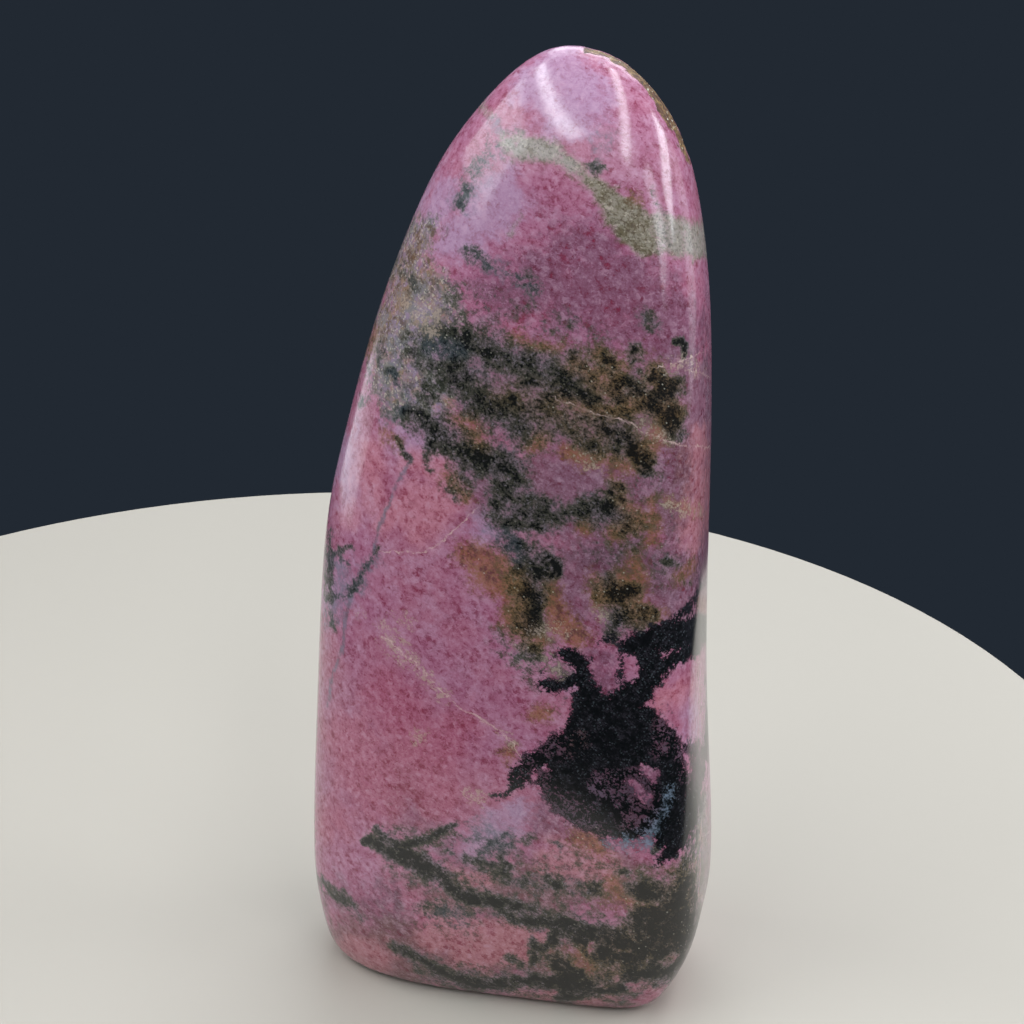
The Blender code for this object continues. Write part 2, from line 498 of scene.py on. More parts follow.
# %% Smoke
SMOKE = [
    [(470, 340, 14), (530, 356, 14), (600, 366, 14), (650, 374, 12)],
    [(480, 400, 30), (530, 416, 32), (590, 414, 28)],
    [(420, 395, 10)],
    [(430, 350, 26), (470, 370, 34), (520, 385, 36), (570, 392, 34), (620, 398, 36), (650, 402, 28)],
    [(440, 428, 18), (480, 448, 26), (516, 470, 24), (516, 508, 24), (548, 512, 20)],
    [(560, 424, 16), (600, 440, 22), (636, 446, 20)],
    [(585, 508, 18), (620, 516, 18), (634, 522, 12)],
    [(510, 544, 18), (530, 578, 20), (526, 615, 20), (530, 648, 14)],
    [(608, 590, 20), (632, 612, 18)],
    [(400, 862, 12), (450, 884, 12), (500, 906, 12), (560, 922, 12), (620, 936, 18), (660, 920, 26)],
    [(425, 908, 8), (470, 914, 8)],
    [(430, 970, 10), (480, 986, 12), (540, 980, 14)],
    [(640, 955, 36), (600, 985, 16)],
    [(550, 884, 10), (594, 890, 10), (506, 880, 8), (470, 862, 5)],
    [(384, 838, 8), (420, 842, 7), (450, 830, 5)],
    [(662, 890, 24), (688, 870, 12)],
]
PINK_ISLANDS = [
    [(540, 474, 14), (562, 480, 20), (590, 478, 10)],
    [(480, 532, 14), (498, 530, 8)],
    [(572, 548, 18), (580, 590, 14)],
    [(655, 480, 18), (660, 510, 14)],
    [(655, 876, 8), (664, 876, 6)],
]
DIM_ISLANDS = [
    [(494, 382, 6), (506, 380, 6)],
    [(460, 400, 5), (456, 408, 4)],
    [(470, 432, 6), (496, 436, 10)],
    [(546, 362, 8)],
    [(628, 372, 8)],
    [(478, 484, 8)],
]
GREY_STREAKS = [
    [(468, 252, 6), (480, 259, 8), (490, 266, 5)],
    [(508, 274, 6), (524, 281, 9), (540, 291, 7)],
    [(493, 142, 4), (484, 158, 6), (474, 176, 6)],
    [(403, 262, 5), (410, 280, 5), (414, 291, 4)],
    [(447, 300, 3), (448, 312, 4), (434, 316, 5), (432, 322, 4)],
    [(645, 318, 10), (652, 326, 8)],
    [(572, 322, 8)],
    [(530, 836, 4), (508, 846, 8), (482, 850, 8)],
    [(436, 914, 5), (470, 912, 5)],
]
GREY_MOTTLE = [
    [(430, 880, 16), (470, 850, 26), (510, 880, 34), (560, 880, 34), (600, 880, 30)],
    [(420, 920, 12), (470, 930, 12)],
    [(640, 480, 30), (660, 560, 30), (600, 540, 24)],
    [(520, 640, 30), (560, 700, 14)],
    [(450, 300, 20), (540, 320, 20), (620, 350, 16)],
]
print("smoke:", len(SMOKE + GREY_STREAKS + GREY_MOTTLE), "strokes")


# %% [markdown]
# Now the strokes become one number. Each list has its own strength, which says how far the dark minerals have
# taken over in it. The sides that are turned away have no strokes of their own, so patches and veins of noise
# are added there: a vein is where a noise crosses zero.

# %% Sum of the dark minerals
WILD_SIZE, WILD_VEIN = 13 * MM, 0.16
PATCH_SIZE, PATCH_FROM, PATCH_FULL = 21 * MM, 0.10, 0.45
WILD_PATCH, WILD_VEIN_MORE = 0.55, 0.45
ISLANDS_CLEAR, DIM_ISLANDS_CLEAR = 0.75, 0.4

smoke = cover(SMOKE, 16) * (1 - ISLANDS_CLEAR * cover(PINK_ISLANDS, 8))
smoke = smoke * (1 - DIM_ISLANDS_CLEAR * cover(DIM_ISLANDS, 8))
veins = np.maximum(1.06 * cover(OLIVE_VEINS, 7), 1.22 * cover(OLIVE_MASS, 15))
veins = np.minimum(1.15 * veins, 1.25 * (1 - cover(OLIVE_ISLANDS, 3)))
dark_layers = (
    (0.25, cover(GREY_MOTTLE, 14)),
    (0.56, cover(GREY_STREAKS, 8)),
    (0.70, smoke),
    (0.80, cover(SOFT_STREAKS_AND_SHOULDER_SHADE, 5)),
    (0.88, cover(DARK_MIX, 14)),
    (1.00, veins),
    (1.10, cover(DARK_STREAKS, 3, 0.6)),
    (1.15, cover(DARK_KNOTS, 7)),
    (1.22, cover(BROWN_DARK, 11)),
    (1.70, cover(SMALL_MARKS, 2.5, 0.4)),
)
dark = np.maximum.reduce([strength * layer_cover for strength, layer_cover in dark_layers])
wild = noise_field(places, WILD_SIZE, 5)
wild_vein = 1 - smooth_step(np.abs(wild[:, 0]), 0.0, WILD_VEIN)
wild_patch = smooth_step(noise_field(places, PATCH_SIZE, 6)[:, 0], PATCH_FROM, PATCH_FULL)
dark = np.maximum(dark, turned_away[:, 0] * wild_patch * (WILD_PATCH + WILD_VEIN_MORE * wild_vein))
keep("dark", dark)


# %% [markdown]
# ### Stains
#
# Iron stains the grains olive, khaki and rust. Stains have soft borders, so wide soft strokes carry them. One
# attribute for each stain lets the material give each its own grain.
#
# An olive band crosses the crown and pales to grey at both ends, and a khaki edge runs down the left.
# The band fades towards the back, where it would look painted on.

# %% Olive and khaki
OLIVE_BAND = [
    [(584, 172, 5), (598, 188, 9), (608, 200, 13), (624, 216, 19), (636, 230, 19), (648, 246, 13)],
]
PALE_BAND = [
    [(506, 140, 8), (520, 148, 14), (545, 152, 12), (566, 162, 9), (586, 176, 8)],
    [(655, 228, 16), (680, 238, 20), (700, 240, 20)],
    [(482, 106, 5), (488, 113, 4)],
    [(522, 214, 1), (512, 234, 2)],
]
KHAKI_EDGE = [
    [(412, 340, 22), (420, 370, 22), (400, 400, 16)],
    [(417, 220, 6), (410, 245, 16), (408, 270, 24), (420, 300, 36), (400, 330, 24)],
    [(440, 310, 20), (440, 325, 18)],
    [(388, 318, 16), (382, 350, 16), (388, 384, 18), (402, 408, 14)],
    [(430, 225, 8), (416, 250, 14)],
    [(400, 380, 22), (405, 405, 14), (440, 400, 18)],
    [(527, 650, 15)],
    [(700, 800, 10), (700, 850, 12), (702, 900, 12), (698, 950, 10)],
]
FADING = 0.55

fading = 1 - FADING * turned_away[:, 0]
keep("olive", fading * np.maximum(cover(OLIVE_BAND, 7), 0.85 * cover(PALE_BAND, 9)))
keep("pale", fading * cover(PALE_BAND, 9) * (1 - cover(OLIVE_BAND, 7)))
keep("khaki", cover(KHAKI_EDGE, 16))


# %% [markdown]
# Rust spreads from the dark minerals, where iron was set free. Over a wider ground it only browns the grey.
# Tan crusts sit beside the healed cracks.

# %% Rust and tan
RUST_STAIN = [
    [(655, 376, 14), (664, 384, 14)],
    [(575, 364, 10), (588, 372, 10), (612, 384, 18)],
    [(600, 356, 10), (620, 364, 9)],
    [(456, 416, 6), (470, 426, 9), (480, 442, 9)],
    [(560, 398, 6), (580, 410, 8), (614, 411, 10), (642, 404, 14)],
    [(565, 452, 9), (582, 458, 9), (606, 460, 8), (632, 466, 8)],
    [(518, 334, 6), (530, 344, 5), (562, 348, 5)],
    [(668, 410, 16), (660, 432, 12), (640, 456, 14)],
    [(540, 440, 10), (530, 450, 6)],
    [(470, 556, 16), (492, 572, 24), (516, 590, 18), (514, 618, 16), (536, 640, 12)],
    [(552, 586, 8), (552, 606, 10), (562, 624, 14), (578, 636, 12)],
    [(596, 580, 8), (600, 602, 10), (626, 586, 18), (640, 612, 14), (656, 616, 8)],
    [(614, 480, 7), (622, 500, 8), (640, 520, 10), (614, 534, 8)],
    [(652, 500, 5), (654, 520, 8), (652, 540, 8)],
    [(586, 530, 8)],
    [(634, 560, 8), (644, 580, 8)],
    [(536, 716, 9), (546, 712, 8)],
    [(508, 752, 8)],
    [(580, 738, 8), (572, 748, 6)],
    [(576, 836, 8), (592, 842, 11), (600, 852, 8)],
    [(612, 880, 8), (620, 896, 8), (640, 908, 7), (664, 912, 6)],
    [(582, 950, 7), (594, 966, 6)],
    [(676, 580, 5), (690, 566, 4)],
    [(696, 512, 4), (668, 498, 3)],
    [(702, 600, 5), (706, 640, 4)],
    [(448, 475, 6), (466, 498, 6)],
    [(386, 436, 5), (396, 442, 4)],
    [(376, 330, 5), (370, 350, 5)],
    [(634, 196, 5)],
]
BROWN_GROUND = [
    [(424, 236, 4), (413, 260, 8), (400, 296, 8), (392, 320, 4)],
    [(560, 960, 16), (610, 960, 26), (660, 930, 30), (680, 880, 20)],
    [(600, 380, 14), (650, 400, 24), (640, 450, 20)],
    [(600, 900, 12), (640, 900, 20), (680, 900, 20)],
    [(500, 392, 10), (550, 408, 20), (600, 430, 20)],
    [(570, 350, 8), (640, 356, 8)],
]
TAN_PATCHES = [
    [(382, 626, 6), (388, 636, 10), (396, 648, 10), (410, 662, 8), (428, 680, 6), (446, 698, 5)],
    [(396, 616, 5), (412, 622, 5)],
    [(360, 612, 5)],
    [(419, 737, 9)],
    [(500, 728, 4), (512, 744, 5)],
    [(470, 795, 8), (480, 800, 6)],
    [(672, 366, 7), (686, 360, 6), (698, 372, 5)],
    [(644, 428, 6), (656, 436, 6), (670, 443, 3)],
    [(598, 470, 6), (580, 456, 5)],
    [(668, 500, 5), (684, 508, 8), (698, 512, 5)],
    [(410, 312, 8), (426, 308, 10), (430, 330, 10), (404, 300, 6)],
    [(550, 664, 8), (560, 672, 6)],
    [(596, 610, 6), (608, 622, 6)],
    [(536, 630, 8), (560, 630, 8)],
]
keep("rust", np.maximum(cover(RUST_STAIN, 11), 0.55 * cover(BROWN_GROUND, 20)))
keep("tan", cover(TAN_PATCHES, 6))


# %% [markdown]
# The oldest cracks hold a bluish grey: as a haze and as two long thin veins down the left. A pale streak at
# the lower edge of the black is a painted reflection of light on the rounded foot, in the same blue-grey. The
# thin veins get a crisp edge and little wander, or they would break into dots.

# %% Blue-grey
TEAL_HAZE = [
    [(494, 122, 8), (503, 134, 9), (512, 140, 6)],
    [(500, 142, 8), (490, 156, 8), (478, 176, 10), (462, 200, 12)],
    [(332, 560, 10), (345, 572, 10), (340, 596, 10), (330, 620, 8)],
    [(395, 375, 10), (402, 398, 12), (392, 420, 8)],
    [(404, 266, 6), (414, 284, 8), (418, 300, 6)],
    [(468, 252, 5), (484, 262, 8), (516, 280, 8), (538, 291, 6)],
    [(372, 560, 8), (358, 585, 10)],
    [(430, 345, 12), (462, 352, 10)],
    [(492, 535, 10), (512, 540, 10), (516, 556, 8)],
    [(604, 134, 10), (596, 152, 6)],
    [(480, 830, 12), (505, 838, 12), (486, 850, 10)],
    [(440, 912, 8), (462, 918, 8)],
    [(640, 846, 3), (650, 846, 3)],
]
TEAL_VEIN = [
    [(410, 461, 1.6), (398, 482, 1.6), (388, 506, 1.8), (379, 530, 1.8), (372, 552, 1.6)],
    [(350, 596, 2.5), (346, 620, 2), (342, 648, 1.6), (333, 673, 1.4), (328, 705, 1)],
]
# Painted reflection: a pale blue-grey streak of light along the lower edge of the black.
PAINTED_REFLECTION_STROKES = [
    [(606, 844, 3), (628, 845, 5), (646, 841, 6), (656, 830, 5), (664, 812, 4), (671, 792, 2), (674, 780, 0)],
    [(628, 834, 1), (644, 828, 2), (654, 812, 1)],
]
# The attribute holds the painted reflection along the lower edge of the black.
keep("seam", cover(PAINTED_REFLECTION_STROKES, 5))
keep("teal", np.maximum(0.6 * cover(TEAL_HAZE, 11), cover(TEAL_VEIN, 2.2, 0.5)))


# %% [markdown]
# ### Tints of the pink
#
# Manganese alone gives a clear pink. Calcium pales it to lilac and coral, iron dulls it to salmon, and where
# the crystals are thick and clean it deepens to crimson. On the crown and down the left edge the lilac is
# also painted sheen, where the polish catches the light. The ground near the dark minerals is dusky, and a
# crease low on the left gets painted shade in the dusky, dull and crimson tints. The strokes are wide, and
# the material breaks them up with its own patches.

# %% Light tints
# Lilac tint and painted sheen: the strokes on the crown and down the left lie where the polish shines.
LILAC_AND_SHEEN = [
    [(352, 470, 10), (362, 510, 12)],
    [(440, 196, 22), (424, 226, 14)],
    [(560, 60, 30), (570, 100, 40), (530, 90, 20)],
    [(500, 200, 30), (470, 230, 24), (440, 250, 12)],
    [(400, 350, 26), (420, 320, 20), (430, 440, 20), (400, 440, 16)],
    [(484, 532, 12)],
    [(335, 600, 14), (340, 570, 12)],
    [(500, 830, 22), (520, 812, 12), (470, 850, 14)],
    [(690, 700, 8), (690, 735, 8)],
    [(340, 470, 14), (345, 440, 10)],
    [(570, 685, 8)],
    [(600, 800, 20)],
]
CORAL = [
    [(372, 450, 14), (368, 500, 16), (350, 520, 10)],
    [(385, 520, 14), (420, 505, 26), (445, 500, 20), (420, 530, 16)],
    [(410, 460, 12), (440, 470, 14)],
    [(680, 690, 14), (665, 700, 12)],
    [(700, 436, 9), (700, 500, 14), (690, 540, 14)],
    [(440, 930, 24), (480, 945, 26), (530, 940, 18)],
    [(350, 950, 16), (380, 960, 14)],
    [(560, 860, 26), (600, 870, 20)],
    [(520, 995, 8), (600, 1000, 6), (615, 976, 8), (650, 984, 6)],
    [(450, 880, 14), (480, 880, 12)],
    [(700, 840, 6)],
]
# The lilac attribute carries both the lilac tint and the painted sheen.
keep("lilac", cover(LILAC_AND_SHEEN, 22))
keep("coral", cover(CORAL, 16))

# %% Deep and dull tints
CRIMSON_AND_CREASE_SHADE = [
    [(390, 770, 24), (410, 800, 20)],
    [(500, 330, 20), (560, 320, 30), (620, 300, 30)],
    [(560, 240, 20), (590, 260, 26), (640, 280, 20)],
    [(390, 560, 20), (400, 600, 20)],
    [(640, 480, 16), (680, 460, 10)],
    [(625, 180, 10), (612, 176, 6)],
    [(575, 150, 9), (590, 152, 5)],
    [(600, 268, 9), (612, 284, 10), (590, 220, 8)],
    [(500, 250, 4)],
    [(480, 226, 5)],
    [(624, 322, 7)],
    [(388, 584, 5)],
    [(522, 332, 6), (545, 331, 5)],
    [(471, 427, 5)],
    [(562, 607, 5), (572, 612, 5)],
    [(554, 824, 8), (566, 830, 8), (552, 818, 5)],
    [(550, 668, 8)],
    [(521, 866, 5), (568, 864, 6), (572, 872, 5)],
    # Painted shade: a darker line down the crease low on the left, where the groove lies in shade.
    [(390, 900, 5), (394, 930, 6), (398, 945, 4)],
    [(406, 975, 5)],
    [(455, 950, 8), (480, 944, 8)],
    [(660, 560, 10), (680, 590, 8), (612, 538, 8)],
    [(630, 500, 5), (606, 492, 6)],
    [(384, 852, 5)],
]
DUSK = [
    [(500, 290, 26), (560, 290, 40), (620, 300, 50), (670, 330, 40)],
    [(560, 245, 20), (600, 250, 24)],
    [(690, 570, 20), (600, 556, 20)],
    [(640, 790, 20), (652, 772, 10)],
    [(600, 655, 14), (604, 680, 10)],
    [(545, 820, 20), (600, 880, 34), (540, 870, 24)],
    [(692, 470, 24), (698, 530, 20)],
    [(400, 792, 14)],
    [(336, 896, 10), (370, 908, 14), (384, 930, 12)],
]
# Painted shade down the crease low on the left, stored with the dusky tint.
PAINTED_CREASE_SHADE = [
    [(394, 884, 3), (396, 910, 5), (398, 940, 5), (397, 968, 3)],
]
DULL_AND_CREASE_SHADE = [
    [(430, 360, 20), (500, 380, 50), (580, 400, 60), (650, 420, 50)],
    [(500, 480, 40), (600, 500, 60), (680, 500, 50)],
    [(530, 600, 30), (600, 580, 50), (660, 590, 50)],
    [(690, 380, 30), (690, 430, 40), (690, 560, 40)],
    [(520, 940, 20), (400, 790, 10)],
    # Painted shade down the crease low on the left.
    [(396, 900, 10), (400, 940, 16)],
]
ROSY = [
    [(350, 740, 30), (380, 780, 40), (420, 760, 40), (460, 730, 20)],
    [(390, 700, 30), (440, 800, 26)],
    [(330, 820, 20)],
    [(660, 700, 14), (682, 700, 10)],
]
SALMON = [
    [(694, 446, 14), (690, 520, 18)],
    [(350, 950, 34), (420, 960, 34), (520, 950, 34), (600, 990, 30), (650, 960, 30)],
    [(450, 900, 24), (520, 890, 26), (590, 880, 24), (650, 890, 20)],
    [(420, 880, 12)],
]
keep("crimson", cover(CRIMSON_AND_CREASE_SHADE, 12))
# The dusk attribute carries the dusky tint and the painted shade of the crease.
keep("dusk", np.maximum(cover(DUSK, 30), cover(PAINTED_CREASE_SHADE, 7)))
keep("dull", cover(DULL_AND_CREASE_SHADE, 30))
keep("rosy", cover(ROSY, 30))
keep("salmon", cover(SALMON, 30))


# %% [markdown]
# ### Healed cracks and the rough spot
#
# Fine cracks in the stone healed with pale quartz. A line thinner than the skin's faces can't be stored as
# a cover, which would break up. The signed distance from the line can: it changes evenly from one face to
# the next, and is zero exactly on the line. A second attribute says how close the crack is at all.
#
# One shoulder of the crown was too hollow for the grinder to reach, so it stayed brown, sparkling and rough.

# %% Cracks
CRACK_NEAR, CRACK_FAR = 5, 12
FRONT_ENDS, BACK_STARTS = 0.2, 0.7
CRACKS = [
    [(560, 400), (592, 413), (628, 421), (650, 435), (676, 445), (712, 448)],
    [(473, 511), (459, 526), (441, 543), (426, 551), (386, 552)],
    [(383, 637), (400, 651), (419, 668), (436, 687), (456, 704), (479, 719), (502, 732), (519, 754)],
    [(660, 367), (682, 362), (697, 355)],
    [(694, 371), (708, 376)],
]
ROUGH_SPOT = [
    [(588, 48, 2), (610, 54, 5), (632, 64, 7), (650, 82, 8), (664, 104, 7), (676, 126, 5), (690, 160, 2)],
]


def signed_distance(lines, raggedness=0.5):
    """The signed distance of each point from the nearest line in pixels: left of it positive."""
    where = spots + raggedness * ragged
    nearest = np.full(len(where), FAR_AWAY)
    for line in lines:
        rows = np.array(line, float)
        for start, end in zip(rows[:-1], rows[1:]):
            along = end - start
            share = np.clip((where - start) @ along / float(along @ along), 0, 1)
            off = where - start - share[:, None] * along
            distance = np.linalg.norm(off, axis=1)
            side = np.where(along[0] * off[:, 1] - along[1] * off[:, 0] < 0, -1, 1)
            nearest = np.where(distance < np.abs(nearest), side * distance, nearest)
    return nearest


crack_side = signed_distance(CRACKS)
keep("crack_side", crack_side)
in_front = 1 - smooth_step(turned_away[:, 0], FRONT_ENDS, BACK_STARTS)
keep("crack_near", in_front * (1 - smooth_step(np.abs(crack_side), CRACK_NEAR, CRACK_FAR)))
keep("rough", in_front * cover(ROUGH_SPOT, 4))


# %% [markdown]
# ## Helpers for nodes
#
# The dents and the material are both trees of nodes. Added one by one in a script, each node takes four or
# five lines, and the eye loses the thread. A few helpers add a node and join its inputs in one line: one for
# any node, one for sums, one for a smooth rise between two values, and one for noise.

# %% Node helpers
def add(tree, kind, feeds=(), how=None, **named):
    """Adds a node. feeds fill its inputs in order, named ones by name, and how sets its own options."""
    made = tree.nodes.new(kind)
    for option, value in (how or {}).items():
        setattr(made, option, value)
    by_name = [(key.replace("_", " "), given) for key, given in named.items()]
    for slot, value in list(enumerate(feeds)) + by_name:
        if isinstance(value, bpy.types.NodeSocket):
            tree.links.new(value, made.inputs[slot])
        elif value is not None:
            made.inputs[slot].default_value = value
    return made


def maths(tree, operation, *feeds):
    """The result of one Math node."""
    return add(tree, "ShaderNodeMath", feeds, {"operation": operation}).outputs[0]


def rise(tree, value, low, high, start=0.0, end=1.0):
    """Start below low, end above high, and a smooth rise between them."""
    how = {"interpolation_type": "SMOOTHSTEP"}
    return add(tree, "ShaderNodeMapRange", (value, low, high, start, end), how).outputs[0]


def grain(tree, where, scale, detail, roughness):
    """One Noise Texture, about 0.5 on average."""
    made = add(tree, "ShaderNodeTexNoise", Vector=where, Scale=scale, Detail=detail, Roughness=roughness)
    return made.outputs[0]


def new_tree(name, kind, inputs, outputs):
    """A node group with these named inputs and outputs, given as {name: (kind, value)}."""
    tree = bpy.data.node_groups.new(name, kind)
    for way, sockets in (("INPUT", inputs), ("OUTPUT", outputs)):
        for label, (socket_kind, value) in sockets.items():
            socket = tree.interface.new_socket(label, in_out=way, socket_type="NodeSocket" + socket_kind)
            if value is not None:
                socket.default_value = value
    start, end = tree.nodes.new("NodeGroupInput"), tree.nodes.new("NodeGroupOutput")
    return tree, start.outputs, end.inputs


# %% [markdown]
# ## Dents of the real surface
#
# A polished stone isn't a perfect mirror. Grains that broke out leave small pits, cracks stay a hair lower
# than the stone beside them, and the rough spot was never ground. These follow a rule, so Geometry Nodes
# make them: points are strewn over the skin where the grains are dark, and every point of the skin that is
# near one of them sinks a little. Bump alone would look the same from the front, but the outline would stay
# perfect, and a copy of the mesh would have no dents. Sizes are in metres.

# %% Tree of the dents
PIT_DENSITY_ELSEWHERE = 0.05
CRACK_HALF_WIDTH = 4.0
LUMPS_PER_METRE = 900.0


def dented_skin():
    """The tree that sinks pits and cracks into the skin and leaves the rough spot rough."""
    inputs = {
        "Skin": ("Geometry", None),
        "Pits per Area": ("Float", 30000.0),
        "Pit Size": ("Float", 0.0012),
        "Pit Depth": ("Float", 0.0001),
        "Crack Depth": ("Float", 0.00005),
        "Rough Height": ("Float", 0.0003),
        "Seed": ("Int", 1),
        "Material": ("Material", None),
    }
    tree, given, result = new_tree("dented skin", "GeometryNodeTree", inputs, {"Skin": ("Geometry", None)})

    def number(name):
        return add(tree, "GeometryNodeInputNamedAttribute", [name], {"data_type": "FLOAT"}).outputs[0]

    # pits, more of them where the grains are dark
    more_pits = maths(tree, "ADD", number("dark"), PIT_DENSITY_ELSEWHERE)
    density = maths(tree, "MULTIPLY", given["Pits per Area"], more_pits)
    strewn = add(
        tree, "GeometryNodeDistributePointsOnFaces", Mesh=given["Skin"], Density=density, Seed=given["Seed"]
    )
    to_pit = add(tree, "GeometryNodeProximity", [strewn.outputs[0]], {"target_element": "POINTS"}).outputs[1]
    pit_shape = rise(tree, maths(tree, "DIVIDE", to_pit, given["Pit Size"]), 0.0, 0.5, 1.0, 0.0)
    pits = maths(tree, "MULTIPLY", pit_shape, given["Pit Depth"])

    # cracks, and the lumps of the rough spot
    from_crack = rise(tree, maths(tree, "ABSOLUTE", number("crack_side")), 0.0, CRACK_HALF_WIDTH, 1.0, 0.0)
    crack_shape = maths(tree, "MULTIPLY", from_crack, number("crack_near"))
    cracks = maths(tree, "MULTIPLY", crack_shape, given["Crack Depth"])
    where = add(tree, "GeometryNodeInputPosition").outputs[0]
    lumps = maths(tree, "MULTIPLY", grain(tree, where, LUMPS_PER_METRE, 3.0, 0.7), number("rough"))
    hollows = maths(tree, "MULTIPLY", lumps, given["Rough Height"])

    # every point sinks against its normal
    sunk = maths(tree, "ADD", maths(tree, "ADD", pits, cracks), hollows)
    normal = add(tree, "GeometryNodeInputNormal").outputs[0]
    outward = maths(tree, "MULTIPLY", sunk, -1.0)
    inward = add(tree, "ShaderNodeVectorMath", [normal], {"operation": "SCALE"}, Scale=outward)
    moved = add(tree, "GeometryNodeSetPosition", Geometry=given["Skin"], Offset=inward.outputs[0])
    real = add(tree, "GeometryNodeRealizeInstances", [moved.outputs[0]])
    faced = add(tree, "GeometryNodeSetMaterial", Geometry=real.outputs[0], Material=given["Material"])
    tree.links.new(faced.outputs[0], result["Skin"])
    return tree


# %% [markdown]
# A modifier runs the tree. It knows the tree's inputs by identifiers such as Socket_2 and not by their names,
# so a helper looks them up. The result is then made a plain mesh.

# %% Run a tree
def run_tree(piece, tree, **values):
    """Puts a tree on a piece, sets its inputs by their identifiers, and makes the result a plain mesh."""
    modifier = piece.modifiers.new(tree.name, "NODES")
    modifier.node_group = tree
    for item in tree.interface.items_tree:
        if item.in_out == "INPUT" and item.name.replace(" ", "_") in values:
            modifier[item.identifier] = values[item.name.replace(" ", "_")]
    return apply_modifiers(piece)


# %% [markdown]
# ## The material
#
# All minerals share one polish, so the stone has one material. Its colours are mixed in layers, from the
# pink ground up to the black. Each layer takes its attribute from the skin and roughens its border with
# noise on Object coordinates, scaled to millimetres, which runs right through the stone without a seam.
#
# A colour is easiest to judge as 0 to 255 on a screen, but Blender mixes linear light, so a helper turns one
# into the other. All the colours stand together here, so that they can be compared.

# %% Colours
def display_colour(red, green, blue):
    """A colour given as 0 to 255 on a screen, turned into the linear values that Blender mixes."""
    shares = np.array((red, green, blue)) / 255
    linear = np.where(shares <= 0.04045, shares / 12.92, ((shares + 0.055) / 1.055) ** 2.4)
    return (*linear.tolist(), 1.0)


PINK = display_colour(172, 108, 136)
ROSE = display_colour(174, 106, 130)
LIGHT_PINK = display_colour(190, 141, 166)
PALE_PINK = display_colour(214, 176, 194)
DEEP_PINK = display_colour(184, 98, 126)
CRIMSON_RED = display_colour(140, 40, 68)
DUSK_MAUVE = display_colour(122, 76, 98)
DULL_MAUVE = display_colour(112, 86, 98)
DEEP_ROSE = display_colour(176, 96, 120)
SALMON_PINK = display_colour(120, 82, 83)
# Lilac, which also serves as painted sheen on the crown and the left edge.
LILAC_AND_SHEEN_PINK = display_colour(180, 152, 182)
CORAL_PINK = display_colour(204, 132, 144)
PALE_BAND_GREY = display_colour(166, 162, 152)
OLIVE_GREEN = display_colour(146, 144, 124)
DEEP_OLIVE = display_colour(104, 100, 74)
DARK_OLIVE = display_colour(54, 52, 38)
KHAKI = display_colour(142, 126, 96)
GREY_LILAC = display_colour(142, 130, 148)
PALE_KHAKI = display_colour(196, 188, 166)
SAGE = display_colour(106, 118, 110)
RUST = display_colour(150, 94, 60)
DARK_RUST = display_colour(92, 56, 40)
GOLD_BROWN = display_colour(142, 112, 70)
TAN = display_colour(208, 186, 168)
TEAL = display_colour(80, 88, 92)
SLATE_LILAC = display_colour(126, 126, 142)
GRAIN_GREY = display_colour(122, 110, 118)
GRIT_GREY = display_colour(148, 136, 146)
OLIVE_GREY = display_colour(86, 86, 74)
BROWN_BLACK = display_colour(46, 36, 26)
GREEN_BLACK = display_colour(38, 42, 34)
BLACK = display_colour(13, 14, 15)
SOOT = display_colour(62, 58, 66)
LOOSE_LILAC = display_colour(84, 76, 90)
DARK_TEAL = display_colour(46, 56, 62)
REFLECTION_BLUE_GREY = display_colour(126, 142, 160)
QUARTZ = display_colour(222, 190, 182)
# Painted glint: a pale colour for specks that stand for grains catching the light.
PAINTED_GLINT = display_colour(205, 198, 180)


# %% [markdown]
# ### Masks
#
# Grains of two minerals don't fade into each other: a grain is one or the other. The mask group turns a soft
# cover into such grains. It adds a pattern to the cover and cuts the sum at a half, so a cover of a half
# gives half of the grains. Raggedness is how far the grains reach over the border, and softness how blurred
# one grain's edge is. Below a small cover the mask fades out, so that no grain strays far from its stain.

# %% Mask group
NO_STRAYS = 0.12


def blend(tree, factor, under, over, way="MIX"):
    """Lays one colour over another. The colours are inputs 6 and 7 of a Mix node."""
    feeds = [factor, None, None, None, None, None, under, over]
    return add(tree, "ShaderNodeMix", feeds, {"data_type": "RGBA", "blend_type": way}).outputs[2]


def mineral_mask():
    """Turns a soft cover into ragged grains: where the cover is half, half of the grains show."""
    inputs = {
        "Cover": ("Float", 0.5),
        "Pattern": ("Float", 0.5),
        "Raggedness": ("Float", 2.0),
        "Softness": ("Float", 0.1),
        "Strength": ("Float", 1.0),
    }
    tree, given, result = new_tree("mineral mask", "ShaderNodeTree", inputs, {"Mask": ("Float", None)})
    spread = maths(tree, "SUBTRACT", given["Pattern"], 0.5)
    level = maths(tree, "MULTIPLY_ADD", spread, given["Raggedness"], given["Cover"])
    low = maths(tree, "SUBTRACT", 0.5, given["Softness"])
    high = maths(tree, "ADD", 0.5, given["Softness"])
    near = rise(tree, given["Cover"], 0.0, NO_STRAYS)
    mask = maths(tree, "MULTIPLY", rise(tree, level, low, high), near)
    tree.links.new(maths(tree, "MULTIPLY", mask, given["Strength"]), result["Mask"])
    return tree


mask_group = mineral_mask()


def masked(tree, cover_value, pattern, raggedness, softness, strength=1.0):
    """A mineral mask node in a tree, filled in."""
    return add(
        tree, "ShaderNodeGroup", how={"node_tree": mask_group}, Cover=cover_value, Pattern=pattern,
        Raggedness=raggedness, Softness=softness, Strength=strength,
    ).outputs[0]


# %% [markdown]
# Some grains lie alone: as painted glints, pale specks that stand for mica catching the light, and as salt
# in the black. A Voronoi Texture divides the stone into cells. A share of them is picked by the cell's
# random colour, and each picked cell shows a small dot.

